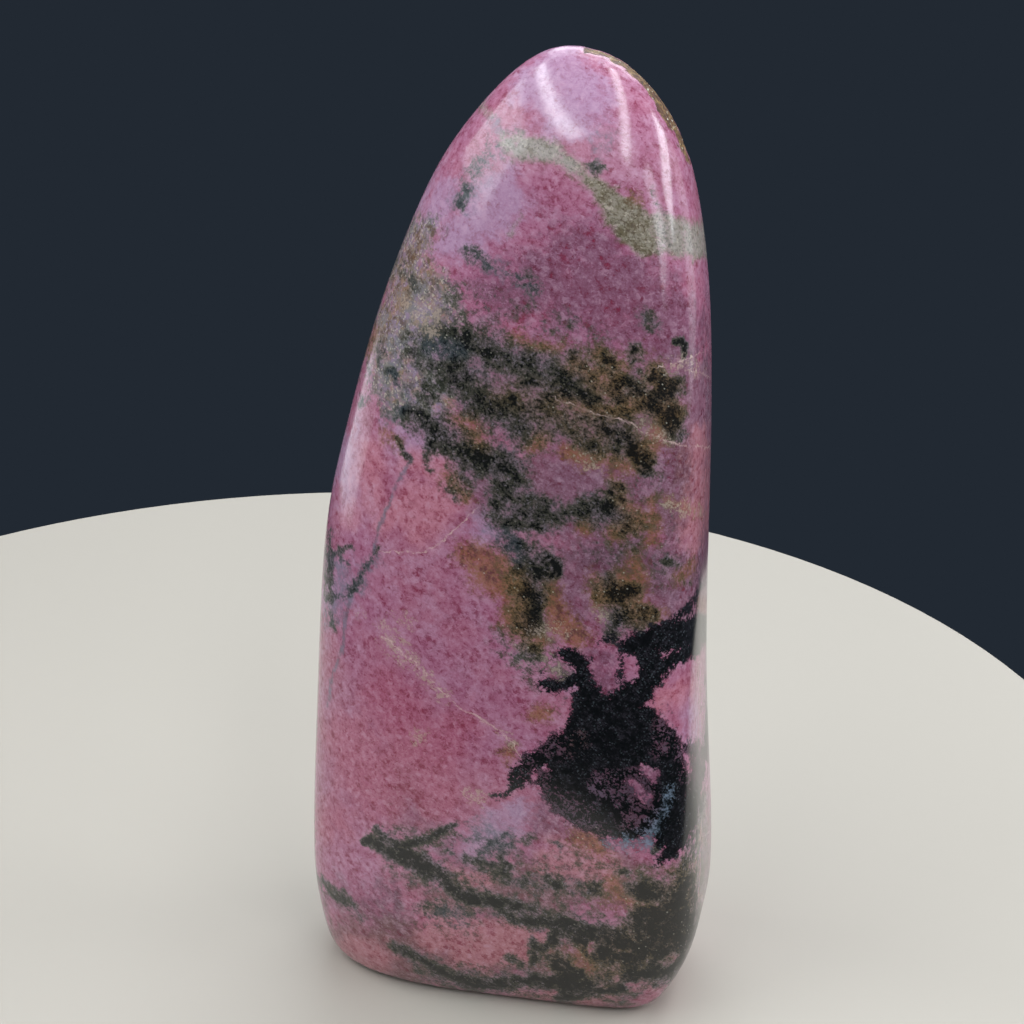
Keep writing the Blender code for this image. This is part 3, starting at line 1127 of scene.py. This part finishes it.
# %% Specks group
def speck_mask():
    """Small separate specks: a share of the cells of a Voronoi Texture, each with a dot in it."""
    inputs = {
        "Place": ("Vector", None),
        "Spacing": ("Float", 1.0),
        "Share": ("Float", 0.2),
        "Size": ("Float", 0.3),
    }
    tree, given, result = new_tree("specks", "ShaderNodeTree", inputs, {"Mask": ("Float", None)})
    scale = maths(tree, "DIVIDE", 1.0, given["Spacing"])
    cells = add(tree, "ShaderNodeTexVoronoi", Vector=given["Place"], Scale=scale)
    luck = add(tree, "ShaderNodeSeparateColor", [cells.outputs["Color"]]).outputs[0]
    chosen = maths(tree, "LESS_THAN", luck, given["Share"])
    half_size = maths(tree, "MULTIPLY", given["Size"], 0.5)
    dot = rise(tree, cells.outputs["Distance"], half_size, given["Size"], 1.0, 0.0)
    tree.links.new(maths(tree, "MULTIPLY", dot, chosen), result["Mask"])
    return tree


speck_group = speck_mask()


def specks(tree, place, spacing, share, size):
    """A specks node in a tree, filled in. Spacing and size are in millimetres."""
    return add(
        tree, "ShaderNodeGroup", how={"node_tree": speck_group}, Place=place, Spacing=spacing, Share=share,
        Size=size,
    ).outputs[0]


# %% [markdown]
# ### Grain of the stone
#
# Every mineral follows the same fabric of the rock, so all layers share one set of patterns: clouds of a
# centimetre, patches, clumps, grains and dust as noise, and crystals as Voronoi cells whose edges are frayed
# by a noise. Mottle is a mix of three, and gives most borders their shape. Scales are per millimetre.

# %% Grain group
PATTERN_SCALES = {
    "Clouds": (0.10, 2.0, 0.50),
    "Patches": (0.34, 5.0, 0.70),
    "Clumps": (0.80, 4.0, 0.70),
    "Grains": (2.60, 3.0, 0.72),
    "Dust": (5.50, 1.0, 0.60),
}
CRYSTAL_SCALES = {"Crystals": 1.05, "Small Crystals": 2.60}
CLUMPS_IN_MOTTLE, PATCHES_IN_MOTTLE, GRAINS_IN_MOTTLE = 0.42, 0.30, 0.28
FRAY_SCALE, FRAY = 1.3, (1.3, 1.3, 1.3)
CRYSTAL_HEART, CRYSTAL_RIM = 0.15, 0.75


def crystal_cells(tree, where, scale):
    """A random number for each crystal, strongest at its middle: the cells of a Voronoi Texture."""
    cells = add(tree, "ShaderNodeTexVoronoi", Vector=where, Scale=scale)
    chance = add(tree, "ShaderNodeSeparateColor", [cells.outputs["Color"]]).outputs[0]
    body = rise(tree, cells.outputs["Distance"], CRYSTAL_HEART, CRYSTAL_RIM, 1.0, 0.0)
    return maths(tree, "MULTIPLY_ADD", maths(tree, "SUBTRACT", chance, 0.5), body, 0.5)


def stone_grain():
    """The patterns that all minerals share, from clouds of a centimetre down to dust."""
    outputs = {name: ("Float", None) for name in (*PATTERN_SCALES, "Mottle", *CRYSTAL_SCALES)}
    tree, given, result = new_tree("stone grain", "ShaderNodeTree", {"Place": ("Vector", None)}, outputs)
    place = given["Place"]
    made = {name: grain(tree, place, *values) for name, values in PATTERN_SCALES.items()}
    mottle = maths(tree, "MULTIPLY", made["Patches"], PATCHES_IN_MOTTLE)
    mottle = maths(tree, "MULTIPLY_ADD", made["Clumps"], CLUMPS_IN_MOTTLE, mottle)
    made["Mottle"] = maths(tree, "MULTIPLY_ADD", made["Grains"], GRAINS_IN_MOTTLE, mottle)
    frays = add(tree, "ShaderNodeTexNoise", Vector=place, Scale=FRAY_SCALE, Detail=2.0, Roughness=0.6)
    centred = [frays.outputs["Color"], (0.5, 0.5, 0.5)]
    shift = add(tree, "ShaderNodeVectorMath", centred, {"operation": "SUBTRACT"}).outputs[0]
    frayed = add(tree, "ShaderNodeVectorMath", [shift, FRAY, place], {"operation": "MULTIPLY_ADD"}).outputs[0]
    for name, scale in CRYSTAL_SCALES.items():
        made[name] = crystal_cells(tree, frayed, scale)
    for name, pattern in made.items():
        tree.links.new(pattern, result[name])
    return tree


grain_group = stone_grain()
print("patterns of the grain:", [*PATTERN_SCALES, "Mottle", *CRYSTAL_SCALES])


# %% [markdown]
# ### The pink ground
#
# Rhodonite is a mosaic of crystals, each a little paler or deeper than the next, and one flat pink would look
# like plastic. Four patterns are added up to one tone, and the tone deepens, pales and flecks the pink.
# The wide tints go on before it, each broken up by the patches.

# %% Pink ground
# Dusk, Dull and Crimson also carry the painted shade of the crease low on the left.
TINTS = (
    ("Dusk", DUSK_MAUVE, 0.8),
    ("Dull", DULL_MAUVE, 0.65),
    ("Rosy", DEEP_ROSE, 0.8),
    ("Salmon", SALMON_PINK, 0.9),
    # Lilac is partly painted sheen on the crown and the left edge.
    ("Lilac", LILAC_AND_SHEEN_PINK, 0.6),
    ("Coral", CORAL_PINK, 0.6),
)
TONE_PARTS = (("Crystals", 0.65), ("Small Crystals", 0.55), ("Clumps", 1.3), ("Grains", 0.55))
DEEPENING, LESS_IN_LILAC_AND_SHEEN = 0.74, -0.40
PALE_CRYSTALS, RED_FLECKS, MORE_IN_CRIMSON, PALE_DUST = 0.28, 0.70, 0.18, 0.16
GROUND_NOISES = ("Clouds", "Patches", "Clumps", "Grains", "Dust", "Crystals", "Small Crystals")
GROUND_COVERS = ("Lilac", "Dusk", "Dull", "Rosy", "Salmon", "Coral", "Crimson")


def group_inputs(covers, noises, colour=True):
    """The named inputs of a layer: the colour under it, its covers and the patterns that it uses."""
    inputs = {"Color": ("Color", None)} if colour else {}
    inputs.update({name: ("Float", 0.0) for name in covers})
    inputs.update({name: ("Float", 0.5) for name in noises})
    return inputs


def pink_ground():
    """The rhodonite itself: a soft mosaic of small crystals in several pinks, with deep red flecks."""
    inputs = group_inputs(GROUND_COVERS, GROUND_NOISES, colour=False)
    outputs = {"Color": ("Color", None), "Tone": ("Float", None)}
    tree, given, result = new_tree("rhodonite ground", "ShaderNodeTree", inputs, outputs)
    colour = blend(tree, rise(tree, given["Clouds"], 0.35, 0.65), PINK, ROSE)
    colour = blend(tree, rise(tree, given["Patches"], 0.42, 0.64, 0.0, 0.55), colour, LIGHT_PINK)
    for name, tint, strength in TINTS:
        tinted = masked(tree, given[name], given["Patches"], raggedness=2.3, softness=0.45, strength=strength)
        colour = blend(tree, tinted, colour, tint)
    tone = -0.5 * sum(weight for _, weight in TONE_PARTS)
    for name, weight in TONE_PARTS:
        tone = maths(tree, "MULTIPLY_ADD", given[name], weight, tone)
    depth = maths(tree, "MULTIPLY_ADD", given["Lilac"], LESS_IN_LILAC_AND_SHEEN, DEEPENING)
    shade = maths(tree, "MULTIPLY", rise(tree, tone, -0.10, 0.42), depth)
    colour = blend(tree, shade, colour, DEEP_PINK, "MULTIPLY")
    colour = blend(tree, rise(tree, tone, -0.45, 0.02, PALE_CRYSTALS, 0.0), colour, PALE_PINK)
    redder = maths(tree, "MULTIPLY_ADD", given["Crimson"], MORE_IN_CRIMSON, tone)
    colour = blend(tree, rise(tree, redder, 0.28, 0.75, 0.0, RED_FLECKS), colour, CRIMSON_RED)
    colour = blend(tree, rise(tree, given["Dust"], 0.50, 0.80, 0.0, PALE_DUST), colour, PALE_PINK)
    tree.links.new(colour, result["Color"])
    tree.links.new(tone, result["Tone"])
    return tree


# %% [markdown]
# ### Stains
#
# A stained area isn't one colour: seen close, it is a mix of grains of five or six. Each stain has a list of
# grain colours. An entry says which pattern picks the grains, from which value of it on, at which value they
# are fully there, and how strong they are. A pattern that is picked by its low values has the larger number
# first. One helper lays the entries over each other.

# %% Stains over the ground
KHAKI_GRAINS = (
    ("Crystals", 0.38, 0.60, 1.0, GREY_LILAC),
    ("Patches", 0.47, 0.56, 0.75, SAGE),
    ("Patches", 0.46, 0.36, 0.55, GOLD_BROWN),
    ("Clumps", 0.49, 0.60, 0.8, OLIVE_GREY),
    ("Small Crystals", 0.45, 0.15, 0.8, PALE_KHAKI),
    ("Grains", 0.56, 0.70, 0.7, DARK_OLIVE),
)
DEEP_OLIVE_PATCHES = (("Mottle", 0.44, 0.56, 1.0, DEEP_OLIVE),)
OLIVE_GRAINS = (
    ("Grains", 0.46, 0.68, 0.55, DARK_OLIVE),
    ("Crystals", 0.55, 0.85, 0.45, DEEP_OLIVE),
    ("Small Crystals", 0.40, 0.10, 0.6, PALE_KHAKI),
)
RUST_GRAINS = (("Clumps", 0.44, 0.60, 1.0, DARK_RUST), ("Grains", 0.46, 0.64, 0.6, GOLD_BROWN))
TEAL_PATCHES = (("Clumps", 0.42, 0.58, 1.0, SLATE_LILAC),)
STAIN_NOISES = ("Mottle", "Patches", "Clumps", "Grains", "Crystals", "Small Crystals")
STAIN_COVERS = ("Teal", "Khaki", "Olive", "Pale", "Rust")


def sprinkled(tree, given, colour, entries):
    """Lays grains of other colours over a colour, one entry after another."""
    for name, start, full, strength, grain_colour in entries:
        colour = blend(tree, rise(tree, given[name], start, full, 0.0, strength), colour, grain_colour)
    return colour


def iron_stains():
    """Grey-green and khaki alteration and rust, each in grains of its own colours."""
    outputs = {"Color": ("Color", None), "Mask": ("Float", None)}
    inputs = group_inputs(STAIN_COVERS, STAIN_NOISES)
    tree, given, result = new_tree("iron stains", "ShaderNodeTree", inputs, outputs)
    mottle = given["Mottle"]
    teal = masked(tree, given["Teal"], mottle, raggedness=4.0, softness=0.45, strength=0.7)
    khaki = masked(tree, given["Khaki"], mottle, raggedness=4.5, softness=0.45, strength=0.85)
    olive = masked(tree, given["Olive"], mottle, raggedness=3.0, softness=0.40, strength=0.9)
    rust = masked(tree, given["Rust"], mottle, raggedness=5.0, softness=0.50, strength=0.8)
    olive_colour = sprinkled(tree, given, OLIVE_GREEN, DEEP_OLIVE_PATCHES)
    olive_colour = blend(tree, maths(tree, "MULTIPLY", given["Pale"], 0.8), olive_colour, PALE_BAND_GREY)
    colour = blend(tree, teal, given["Color"], sprinkled(tree, given, TEAL, TEAL_PATCHES))
    colour = blend(tree, khaki, colour, sprinkled(tree, given, KHAKI, KHAKI_GRAINS))
    colour = blend(tree, olive, colour, sprinkled(tree, given, olive_colour, OLIVE_GRAINS))
    colour = blend(tree, rust, colour, sprinkled(tree, given, RUST, RUST_GRAINS))
    tree.links.new(colour, result["Color"])
    tree.links.new(maths(tree, "MULTIPLY", maths(tree, "MAXIMUM", khaki, rust), 0.6), result["Mask"])
    return tree


# %% [markdown]
# ### Dark minerals
#
# Where the dark minerals thicken, a grey haze of fine grains comes first, then green-black clumps, and then
# a black core. All three read the same number, and each starts a step later than the one before. Rust turns
# them brown, and the old cracks turn them bluish.

# %% Dark minerals
HAZE_EARLIER, CLUMPS_LATER, CORE_LATER = 0.12, 0.20, 0.54
HAZE_PATCHES = (("Patches", 0.42, 0.58, 1.0, OLIVE_GREY),)
HAZE_GRAINS = (("Grains", 0.42, 0.66, 0.7, DARK_OLIVE),)
CLUMP_GRAINS = (("Grains", 0.56, 0.40, 0.65, DARK_OLIVE),)
DARK_NOISES = ("Mottle", "Patches", "Grains", "Dust", "Small Crystals")
DARK_COVERS = ("Dark", "Rust", "Teal")


def dark_minerals():
    """Grey haze, then olive and green-black clumps, then black, as the dark minerals take over."""
    outputs = {"Color": ("Color", None), "Mask": ("Float", None)}
    tree, given, result = new_tree(
        "dark minerals", "ShaderNodeTree", group_inputs(DARK_COVERS, DARK_NOISES), outputs
    )
    mottle, dark, rust = given["Mottle"], given["Dark"], given["Rust"]
    bluish = rise(tree, given["Teal"], 0.1, 0.6)
    thickness = rise(tree, dark, 0.0, 0.2, 0.1, 0.9)
    haze_cover = maths(tree, "ADD", dark, HAZE_EARLIER)
    haze = masked(tree, haze_cover, mottle, raggedness=4.0, softness=0.34, strength=thickness)
    haze_colour = sprinkled(tree, given, GRAIN_GREY, HAZE_PATCHES)
    haze_colour = blend(tree, maths(tree, "MULTIPLY", rust, 0.65), haze_colour, GOLD_BROWN)
    haze_colour = blend(tree, maths(tree, "MULTIPLY", bluish, 0.7), haze_colour, TEAL)
    haze_colour = sprinkled(tree, given, haze_colour, HAZE_GRAINS)
    colour = blend(tree, haze, given["Color"], haze_colour)
    clump_cover = maths(tree, "SUBTRACT", dark, CLUMPS_LATER)
    clumps = masked(tree, clump_cover, mottle, raggedness=4.6, softness=0.35, strength=0.86)
    clump_colour = sprinkled(tree, given, GREEN_BLACK, CLUMP_GRAINS)
    clump_colour = blend(tree, maths(tree, "MULTIPLY", rust, 0.75), clump_colour, BROWN_BLACK)
    clump_colour = blend(tree, bluish, clump_colour, DARK_TEAL)
    colour = blend(tree, clumps, colour, clump_colour)
    colour = dark_grit(tree, given, haze, colour)
    core_cover = maths(tree, "SUBTRACT", dark, CORE_LATER)
    core = masked(tree, core_cover, mottle, raggedness=4.8, softness=0.22, strength=0.85)
    colour = blend(tree, core, colour, BLACK)
    tree.links.new(colour, result["Color"])
    tree.links.new(maths(tree, "MAXIMUM", clumps, maths(tree, "MULTIPLY", haze, 0.6)), result["Mask"])
    return tree


def dark_grit(tree, given, haze, colour):
    """Single pale, dusty and sooty grains among the dark minerals."""
    rust = given["Rust"]
    grit = maths(tree, "MULTIPLY", rise(tree, given["Small Crystals"], 0.40, 0.10, 0.0, 0.5), haze)
    grit = maths(tree, "MULTIPLY", grit, rise(tree, rust, 0.0, 1.0, 1.0, 0.3))
    colour = blend(tree, grit, colour, blend(tree, rise(tree, rust, 0.3, 0.9), GRIT_GREY, PALE_KHAKI))
    dusty = maths(tree, "MULTIPLY", rise(tree, given["Dust"], 0.52, 0.72, 0.0, 0.45), haze)
    colour = blend(tree, dusty, colour, blend(tree, rust, OLIVE_GREY, GOLD_BROWN))
    sooty = maths(tree, "MULTIPLY", rise(tree, given["Dust"], 0.48, 0.28, 0.0, 0.55), haze)
    return blend(tree, sooty, colour, blend(tree, rust, GREEN_BLACK, BROWN_BLACK))


# %% [markdown]
# ## The layers of this stone
#
# The groups are now joined in one material. Its patterns are placed by Object coordinates, turned by the
# tilt of the bedding and stretched a little along it, so the patches lie slantwise as they do in the rock.
# A layer is fed by name: with a pattern of the grain where there is one of that name, or else with the
# attribute of the skin.

# %% Ground, stains and dark minerals
RHODONITE_IOR = 1.55
BEDDING_TILT = math.radians(32)
BEDDING_STRETCH = 0.82

polish = bpy.data.materials.new("polished rhodonite")
polish.use_nodes = True
stone_tree = polish.node_tree
surface = stone_tree.nodes["Principled BSDF"]
surface.inputs["IOR"].default_value = RHODONITE_IOR

metres = add(stone_tree, "ShaderNodeTexCoord").outputs["Object"]
bedding = add(stone_tree, "ShaderNodeMapping", [metres], Rotation=(0, -BEDDING_TILT, 0)).outputs[0]
stretch = (BEDDING_STRETCH / MM, 1 / MM, 1 / MM)
stretched = add(stone_tree, "ShaderNodeVectorMath", [bedding, stretch], {"operation": "MULTIPLY"})
stone_place = stretched.outputs[0]
grain_node = add(stone_tree, "ShaderNodeGroup", how={"node_tree": grain_group}, Place=stone_place)
patterns = {socket.name: socket for socket in grain_node.outputs}
mottle, clumps, grains = patterns["Mottle"], patterns["Clumps"], patterns["Grains"]


def stored(name):
    """An attribute of the skin, read by the material."""
    return add(stone_tree, "ShaderNodeAttribute", how={"attribute_name": name}).outputs["Fac"]


def layer(group, covers, noises, colour=None):
    """A layer of the finish, fed with the attributes and the patterns of the same names."""
    feeds = {name: stored(name.lower()) for name in covers}
    feeds.update({name: patterns[name] for name in noises})
    return add(stone_tree, "ShaderNodeGroup", how={"node_tree": group}, Color=colour, **feeds).outputs


ground = layer(pink_ground(), GROUND_COVERS, GROUND_NOISES)
stains = layer(iron_stains(), STAIN_COVERS, STAIN_NOISES, ground["Color"])
darks = layer(dark_minerals(), DARK_COVERS, DARK_NOISES, stains["Color"])
colour = darks["Color"]
print("attributes read by the layers:", ", ".join(GROUND_COVERS + STAIN_COVERS + DARK_COVERS))


# %% [markdown]
# ### Solid black
#
# Manganese oxide fills whole areas. Two noises give its border a ragged edge. In its loose parts, holes let
# mauve grains through, soot greys the black where the noise is high, and unaltered grains salt it.

# %% Solid black
def times(first, second):
    """The product of two numbers in the stone's material."""
    return maths(stone_tree, "MULTIPLY", first, second)


BLACK_GAIN, BLACK_START = 1.4, 0.5
HOLE_SHARE = 0.24
SALT = {"spacing": 0.34, "share": 0.45, "size": 0.45}

ragged_black = maths(stone_tree, "MULTIPLY_ADD", grains, 0.5, times(clumps, 0.5))
black_cover = maths(stone_tree, "MULTIPLY_ADD", stored("black"), BLACK_GAIN, BLACK_START)
hole_cover = times(stored("loose"), HOLE_SHARE)
holes = masked(stone_tree, hole_cover, ragged_black, raggedness=6.0, softness=0.38, strength=0.75)
black = masked(stone_tree, black_cover, ragged_black, raggedness=5.0, softness=0.34)
black = times(black, maths(stone_tree, "SUBTRACT", 1.0, holes))
soot_share = maths(stone_tree, "MULTIPLY_ADD", stored("loose"), 0.5, 0.5)
sooty = times(rise(stone_tree, ragged_black, 0.44, 0.66), soot_share)
salt = times(specks(stone_tree, stone_place, **SALT), rise(stone_tree, clumps, 0.42, 0.60, 0.1, 0.6))
black_colour = blend(stone_tree, salt, blend(stone_tree, sooty, BLACK, SOOT), TEAL)
colour = blend(stone_tree, times(holes, 1.1), colour, LOOSE_LILAC)
colour = blend(stone_tree, black, colour, black_colour)


# %% [markdown]
# ### Painted reflection, crusts and healed cracks
#
# A pale streak of painted reflection, blue-grey, runs along the lower edge of the black, and thin tan
# crusts lie along the cracks. The cracks read the signed distance of the skin, waved by the clumps, and
# show where it is close to zero. The mottle interrupts them, because a crack heals in some places and
# stays closed in others.

# %% Painted reflection, crusts and cracks
CRACK_WAVE = 12.0
CRACK_WIDTH, CRACK_PALENESS = 1.4, 0.75

# Painted reflection of light along the lower edge of the black, with its cover and colour.
painted_reflection_cover, tan_cover = times(stored("seam"), 0.75), times(stored("tan"), 0.44)
seam = masked(stone_tree, painted_reflection_cover, ragged_black, raggedness=6.0, softness=0.6, strength=0.75)
painted_reflection_colour = blend(stone_tree, rise(stone_tree, ragged_black, 0.46, 0.62), DARK_TEAL, REFLECTION_BLUE_GREY)
crusts = masked(stone_tree, tan_cover, ragged_black, raggedness=6.0, softness=0.34, strength=0.50)
wave = maths(stone_tree, "MULTIPLY_ADD", clumps, CRACK_WAVE, -CRACK_WAVE / 2)
off_crack = maths(stone_tree, "ABSOLUTE", maths(stone_tree, "ADD", stored("crack_side"), wave))
crack = times(rise(stone_tree, off_crack, 0.0, CRACK_WIDTH, CRACK_PALENESS, 0.0), stored("crack_near"))
crack = times(crack, rise(stone_tree, mottle, 0.44, 0.56, 0.1, 1.0))
colour = blend(stone_tree, seam, colour, painted_reflection_colour)
colour = blend(stone_tree, crusts, colour, TAN)
colour = blend(stone_tree, crack, colour, QUARTZ)


# %% [markdown]
# ### Rough spot and painted glints
#
# The spot that was never ground is brown and full of bright grains, whose sparkle is painted as pale
# specks. Over the stains and, more thinly, over the dark minerals, painted glints stand for single grains
# of mica that catch the light.

# %% Rough spot and painted glints
ROUGH_GRAINS = (("Clumps", 0.42, 0.58, 1.0, DARK_RUST), ("Grains", 0.45, 0.62, 0.8, BROWN_BLACK))
PAINTED_SPARKLES = {"spacing": 0.55, "share": 0.26, "size": 0.36}
PAINTED_GLINTS = {"spacing": 0.50, "share": 0.16, "size": 0.30}
PAINTED_GLINTS_IN_DARK = 0.22

rough = masked(stone_tree, stored("rough"), clumps, raggedness=1.6, softness=0.2)
rough_colour = sprinkled(stone_tree, patterns, GOLD_BROWN, ROUGH_GRAINS)
# Painted sparkle of the rough spot.
rough_colour = blend(stone_tree, specks(stone_tree, stone_place, **PAINTED_SPARKLES), rough_colour, PAINTED_GLINT)
colour = blend(stone_tree, rough, colour, rough_colour)
# Painted glints over the stains and, more thinly, the dark minerals.
painted_glint_cover = maths(stone_tree, "MAXIMUM", stains["Mask"], times(darks["Mask"], PAINTED_GLINTS_IN_DARK))
colour = blend(stone_tree, times(specks(stone_tree, stone_place, **PAINTED_GLINTS), painted_glint_cover), colour, PAINTED_GLINT)
stone_tree.links.new(colour, surface.inputs["Base Color"])


# %% [markdown]
# ### Gloss and fine relief
#
# Fine-grained stone takes the best polish. Mixed grains of different hardness take a duller one, and the
# rough spot none. The dents of the mesh are the relief that can be felt. Bump adds what only the light
# shows: grains that stand a hundredth of a millimetre lower than the next.

# %% Gloss and relief
ROUGH_POLISH, GRAIN_POLISH, FINE_POLISH = 0.55, 0.23, 0.15
POLISH_UNEVENNESS = 0.10
RELIEF = 0.012 * MM
RELIEF_STRENGTH, RELIEF_ELSEWHERE, CRACK_RELIEF = 0.6, 0.25, 0.5


def between(factor, first, second):
    """A number between two others, which are inputs 2 and 3 of a Mix node."""
    return add(stone_tree, "ShaderNodeMix", [factor, None, first, second]).outputs[0]


grainy = maths(stone_tree, "MAXIMUM", darks["Mask"], stains["Mask"])
grainy = maths(stone_tree, "MAXIMUM", grainy, rough)
grainy = maths(stone_tree, "MAXIMUM", maths(stone_tree, "SUBTRACT", grainy, black), 0.0)
unevenness = maths(stone_tree, "SUBTRACT", clumps, 0.5)
gloss = between(grainy, FINE_POLISH, GRAIN_POLISH)
gloss = maths(stone_tree, "MULTIPLY_ADD", unevenness, POLISH_UNEVENNESS, gloss)
gloss = between(rough, gloss, ROUGH_POLISH)
stone_tree.links.new(gloss, surface.inputs["Roughness"])

height = times(maths(stone_tree, "ADD", grainy, RELIEF_ELSEWHERE), times(grains, -1.0))
height = maths(stone_tree, "SUBTRACT", height, times(crack, CRACK_RELIEF))
relief = add(stone_tree, "ShaderNodeBump", Strength=RELIEF_STRENGTH, Distance=RELIEF, Height=height)
stone_tree.links.new(relief.outputs[0], surface.inputs["Normal"])
print("material:", len(stone_tree.nodes), "nodes and", len(bpy.data.node_groups), "groups")


# %% [markdown]
# ### The dents go in
#
# The tree of the dents also sets the material, so it runs last. Its sizes are given here in millimetres.

# %% Run the dents
skin.data.materials.clear()
dented = run_tree(
    skin, dented_skin(), Pits_per_Area=50000.0, Pit_Size=1.2 * MM, Pit_Depth=0.05 * MM, Crack_Depth=0.03 * MM,
    Rough_Height=0.45 * MM, Seed=7, Material=polish,
)
print("skin after dents:", len(dented.vertices), "points")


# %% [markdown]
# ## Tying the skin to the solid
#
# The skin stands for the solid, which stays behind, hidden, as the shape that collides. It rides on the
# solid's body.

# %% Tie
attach(skin, "root")
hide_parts(SOLID)


# %% [markdown]
# ## Floor and light
#
# A polished stone shows its surroundings, so they stay plain: a pale round floor that ends behind the stone,
# and an even dark blue-grey around it. The floor is a thin slab cut from a circle. A flat circle would do for
# the render, but a slab with an edge also looks right from low views.

# %% Floor
FLOOR_RADIUS = 150 * MM
FLOOR_MIDDLE = (-45 * MM, 40 * MM, 0)
FLOOR_THICKNESS = 8 * MM
FLOOR_SIDES = 128
FLOOR_ROUGHNESS = 0.6


def round_floor():
    """A round slab whose top is at the stone's foot, moved back so that more of it shows behind."""
    shape = bmesh.new()
    bmesh.ops.create_circle(shape, cap_ends=True, radius=FLOOR_RADIUS, segments=FLOOR_SIDES)
    grown = bmesh.ops.extrude_face_region(shape, geom=list(shape.faces))
    lower = [part for part in grown["geom"] if isinstance(part, bmesh.types.BMVert)]
    bmesh.ops.translate(shape, verts=lower, vec=(0, 0, -FLOOR_THICKNESS))
    bmesh.ops.translate(shape, verts=shape.verts, vec=FLOOR_MIDDLE)
    bmesh.ops.recalc_face_normals(shape, faces=shape.faces)
    slab = bpy.data.meshes.new("floor")
    shape.to_mesh(slab)
    shape.free()
    return bpy.data.objects.new("floor", slab)


floor = round_floor()
bpy.context.scene.collection.objects.link(floor)
pale = bpy.data.materials.new("pale floor")
pale.use_nodes = True
pale_surface = pale.node_tree.nodes["Principled BSDF"]
pale_surface.inputs["Base Color"].default_value = display_colour(180, 173, 162)
pale_surface.inputs["Roughness"].default_value = FLOOR_ROUGHNESS
floor.data.materials.append(pale)
print("floor:", round(2 * FLOOR_RADIUS / MM), "mm across")


# %% [markdown]
# Each lamp is seen twice on a mirror polish: it lights the stone, and its own shape is reflected. Wide boxes
# do the lighting: a key from the left, a bow overhead, a fill in front and one behind. Narrow strips do the
# drawing. Their reflections run as thin streaks down the crown, the shoulder and both edges, and show how the
# surface turns. A lamp is given by the two directions between which it spans, as seen from the stone: turn
# from the front and height above level, in degrees.

# %% Light
LIGHT_AIM = Vector((0, 0, 100 * MM))
LIGHT_DISTANCE = 0.7
COOL = (0.90, 0.95, 1.0)


def direction(turn, height):
    """A unit vector out from the stone, by its turn from the front and its height above level, in degrees."""
    turn, height = math.radians(turn), math.radians(height)
    flat = math.cos(height)
    return Vector((math.sin(turn) * flat, -math.cos(turn) * flat, math.sin(height)))


def soft_box(name, start, end, width, brightness, distance=LIGHT_DISTANCE, tint=COOL):
    """A long lamp from one direction to another, facing the stone, with its brightness per square metre."""
    ends = [direction(*start) * distance, direction(*end) * distance]
    middle, along = (ends[0] + ends[1]) / 2, (ends[1] - ends[0])
    outward = middle.normalized()
    lengthwise = (along - along.dot(outward) * outward).normalized()
    lamp = bpy.data.lights.new(name, "AREA")
    lamp.shape = "RECTANGLE"
    lamp.size, lamp.size_y = along.length, width
    lamp.energy = brightness * along.length * width
    lamp.color = tint
    box = bpy.data.objects.new(name, lamp)
    axes = Matrix((lengthwise, outward.cross(lengthwise), outward)).transposed().to_4x4()
    box.matrix_world = Matrix.Translation(LIGHT_AIM + middle) @ axes
    box.visible_camera = False
    bpy.context.scene.collection.objects.link(box)
    print(f"{name}: {along.length:.2f} by {width:.2f} m, {lamp.energy:.1f} W")
    return box


# wide boxes
soft_box("key", (-100, 36), (-36, 25), width=0.34, brightness=11.3, distance=0.8)
soft_box("overhead", (-135, 50), (135, 50), width=0.6, brightness=7, distance=0.9)
soft_box("front fill", (-28, 30), (38, 30), width=0.45, brightness=3.2, distance=1.2)
soft_box("back", (150, 35), (205, 35), width=0.5, brightness=8, distance=1.1)

# narrow strips
soft_box("crown streak left", (-105, 56), (-7, 39), width=0.06, brightness=33)
soft_box("crown streak right", (130, 68), (24, 31), width=0.08, brightness=29)
soft_box("shoulder streak", (115, 34), (72, 14), width=0.16, brightness=26)
soft_box("shoulder line", (46, 28), (56, 7), width=0.15, brightness=14)
soft_box("right edge", (106, 36), (118, -12), width=0.28, brightness=4.0)
soft_box("left edge", (-122, -9), (-84, -9), width=0.10, brightness=6)

# %% Surroundings
SURROUNDINGS = display_colour(34, 41, 50)

world = bpy.data.worlds.new("studio")
world.use_nodes = True
world.node_tree.nodes["Background"].inputs["Color"].default_value = SURROUNDINGS
world.node_tree.nodes["Background"].inputs["Strength"].default_value = 1.0
bpy.context.scene.world = world
bpy.context.scene.view_settings.view_transform = "Standard"
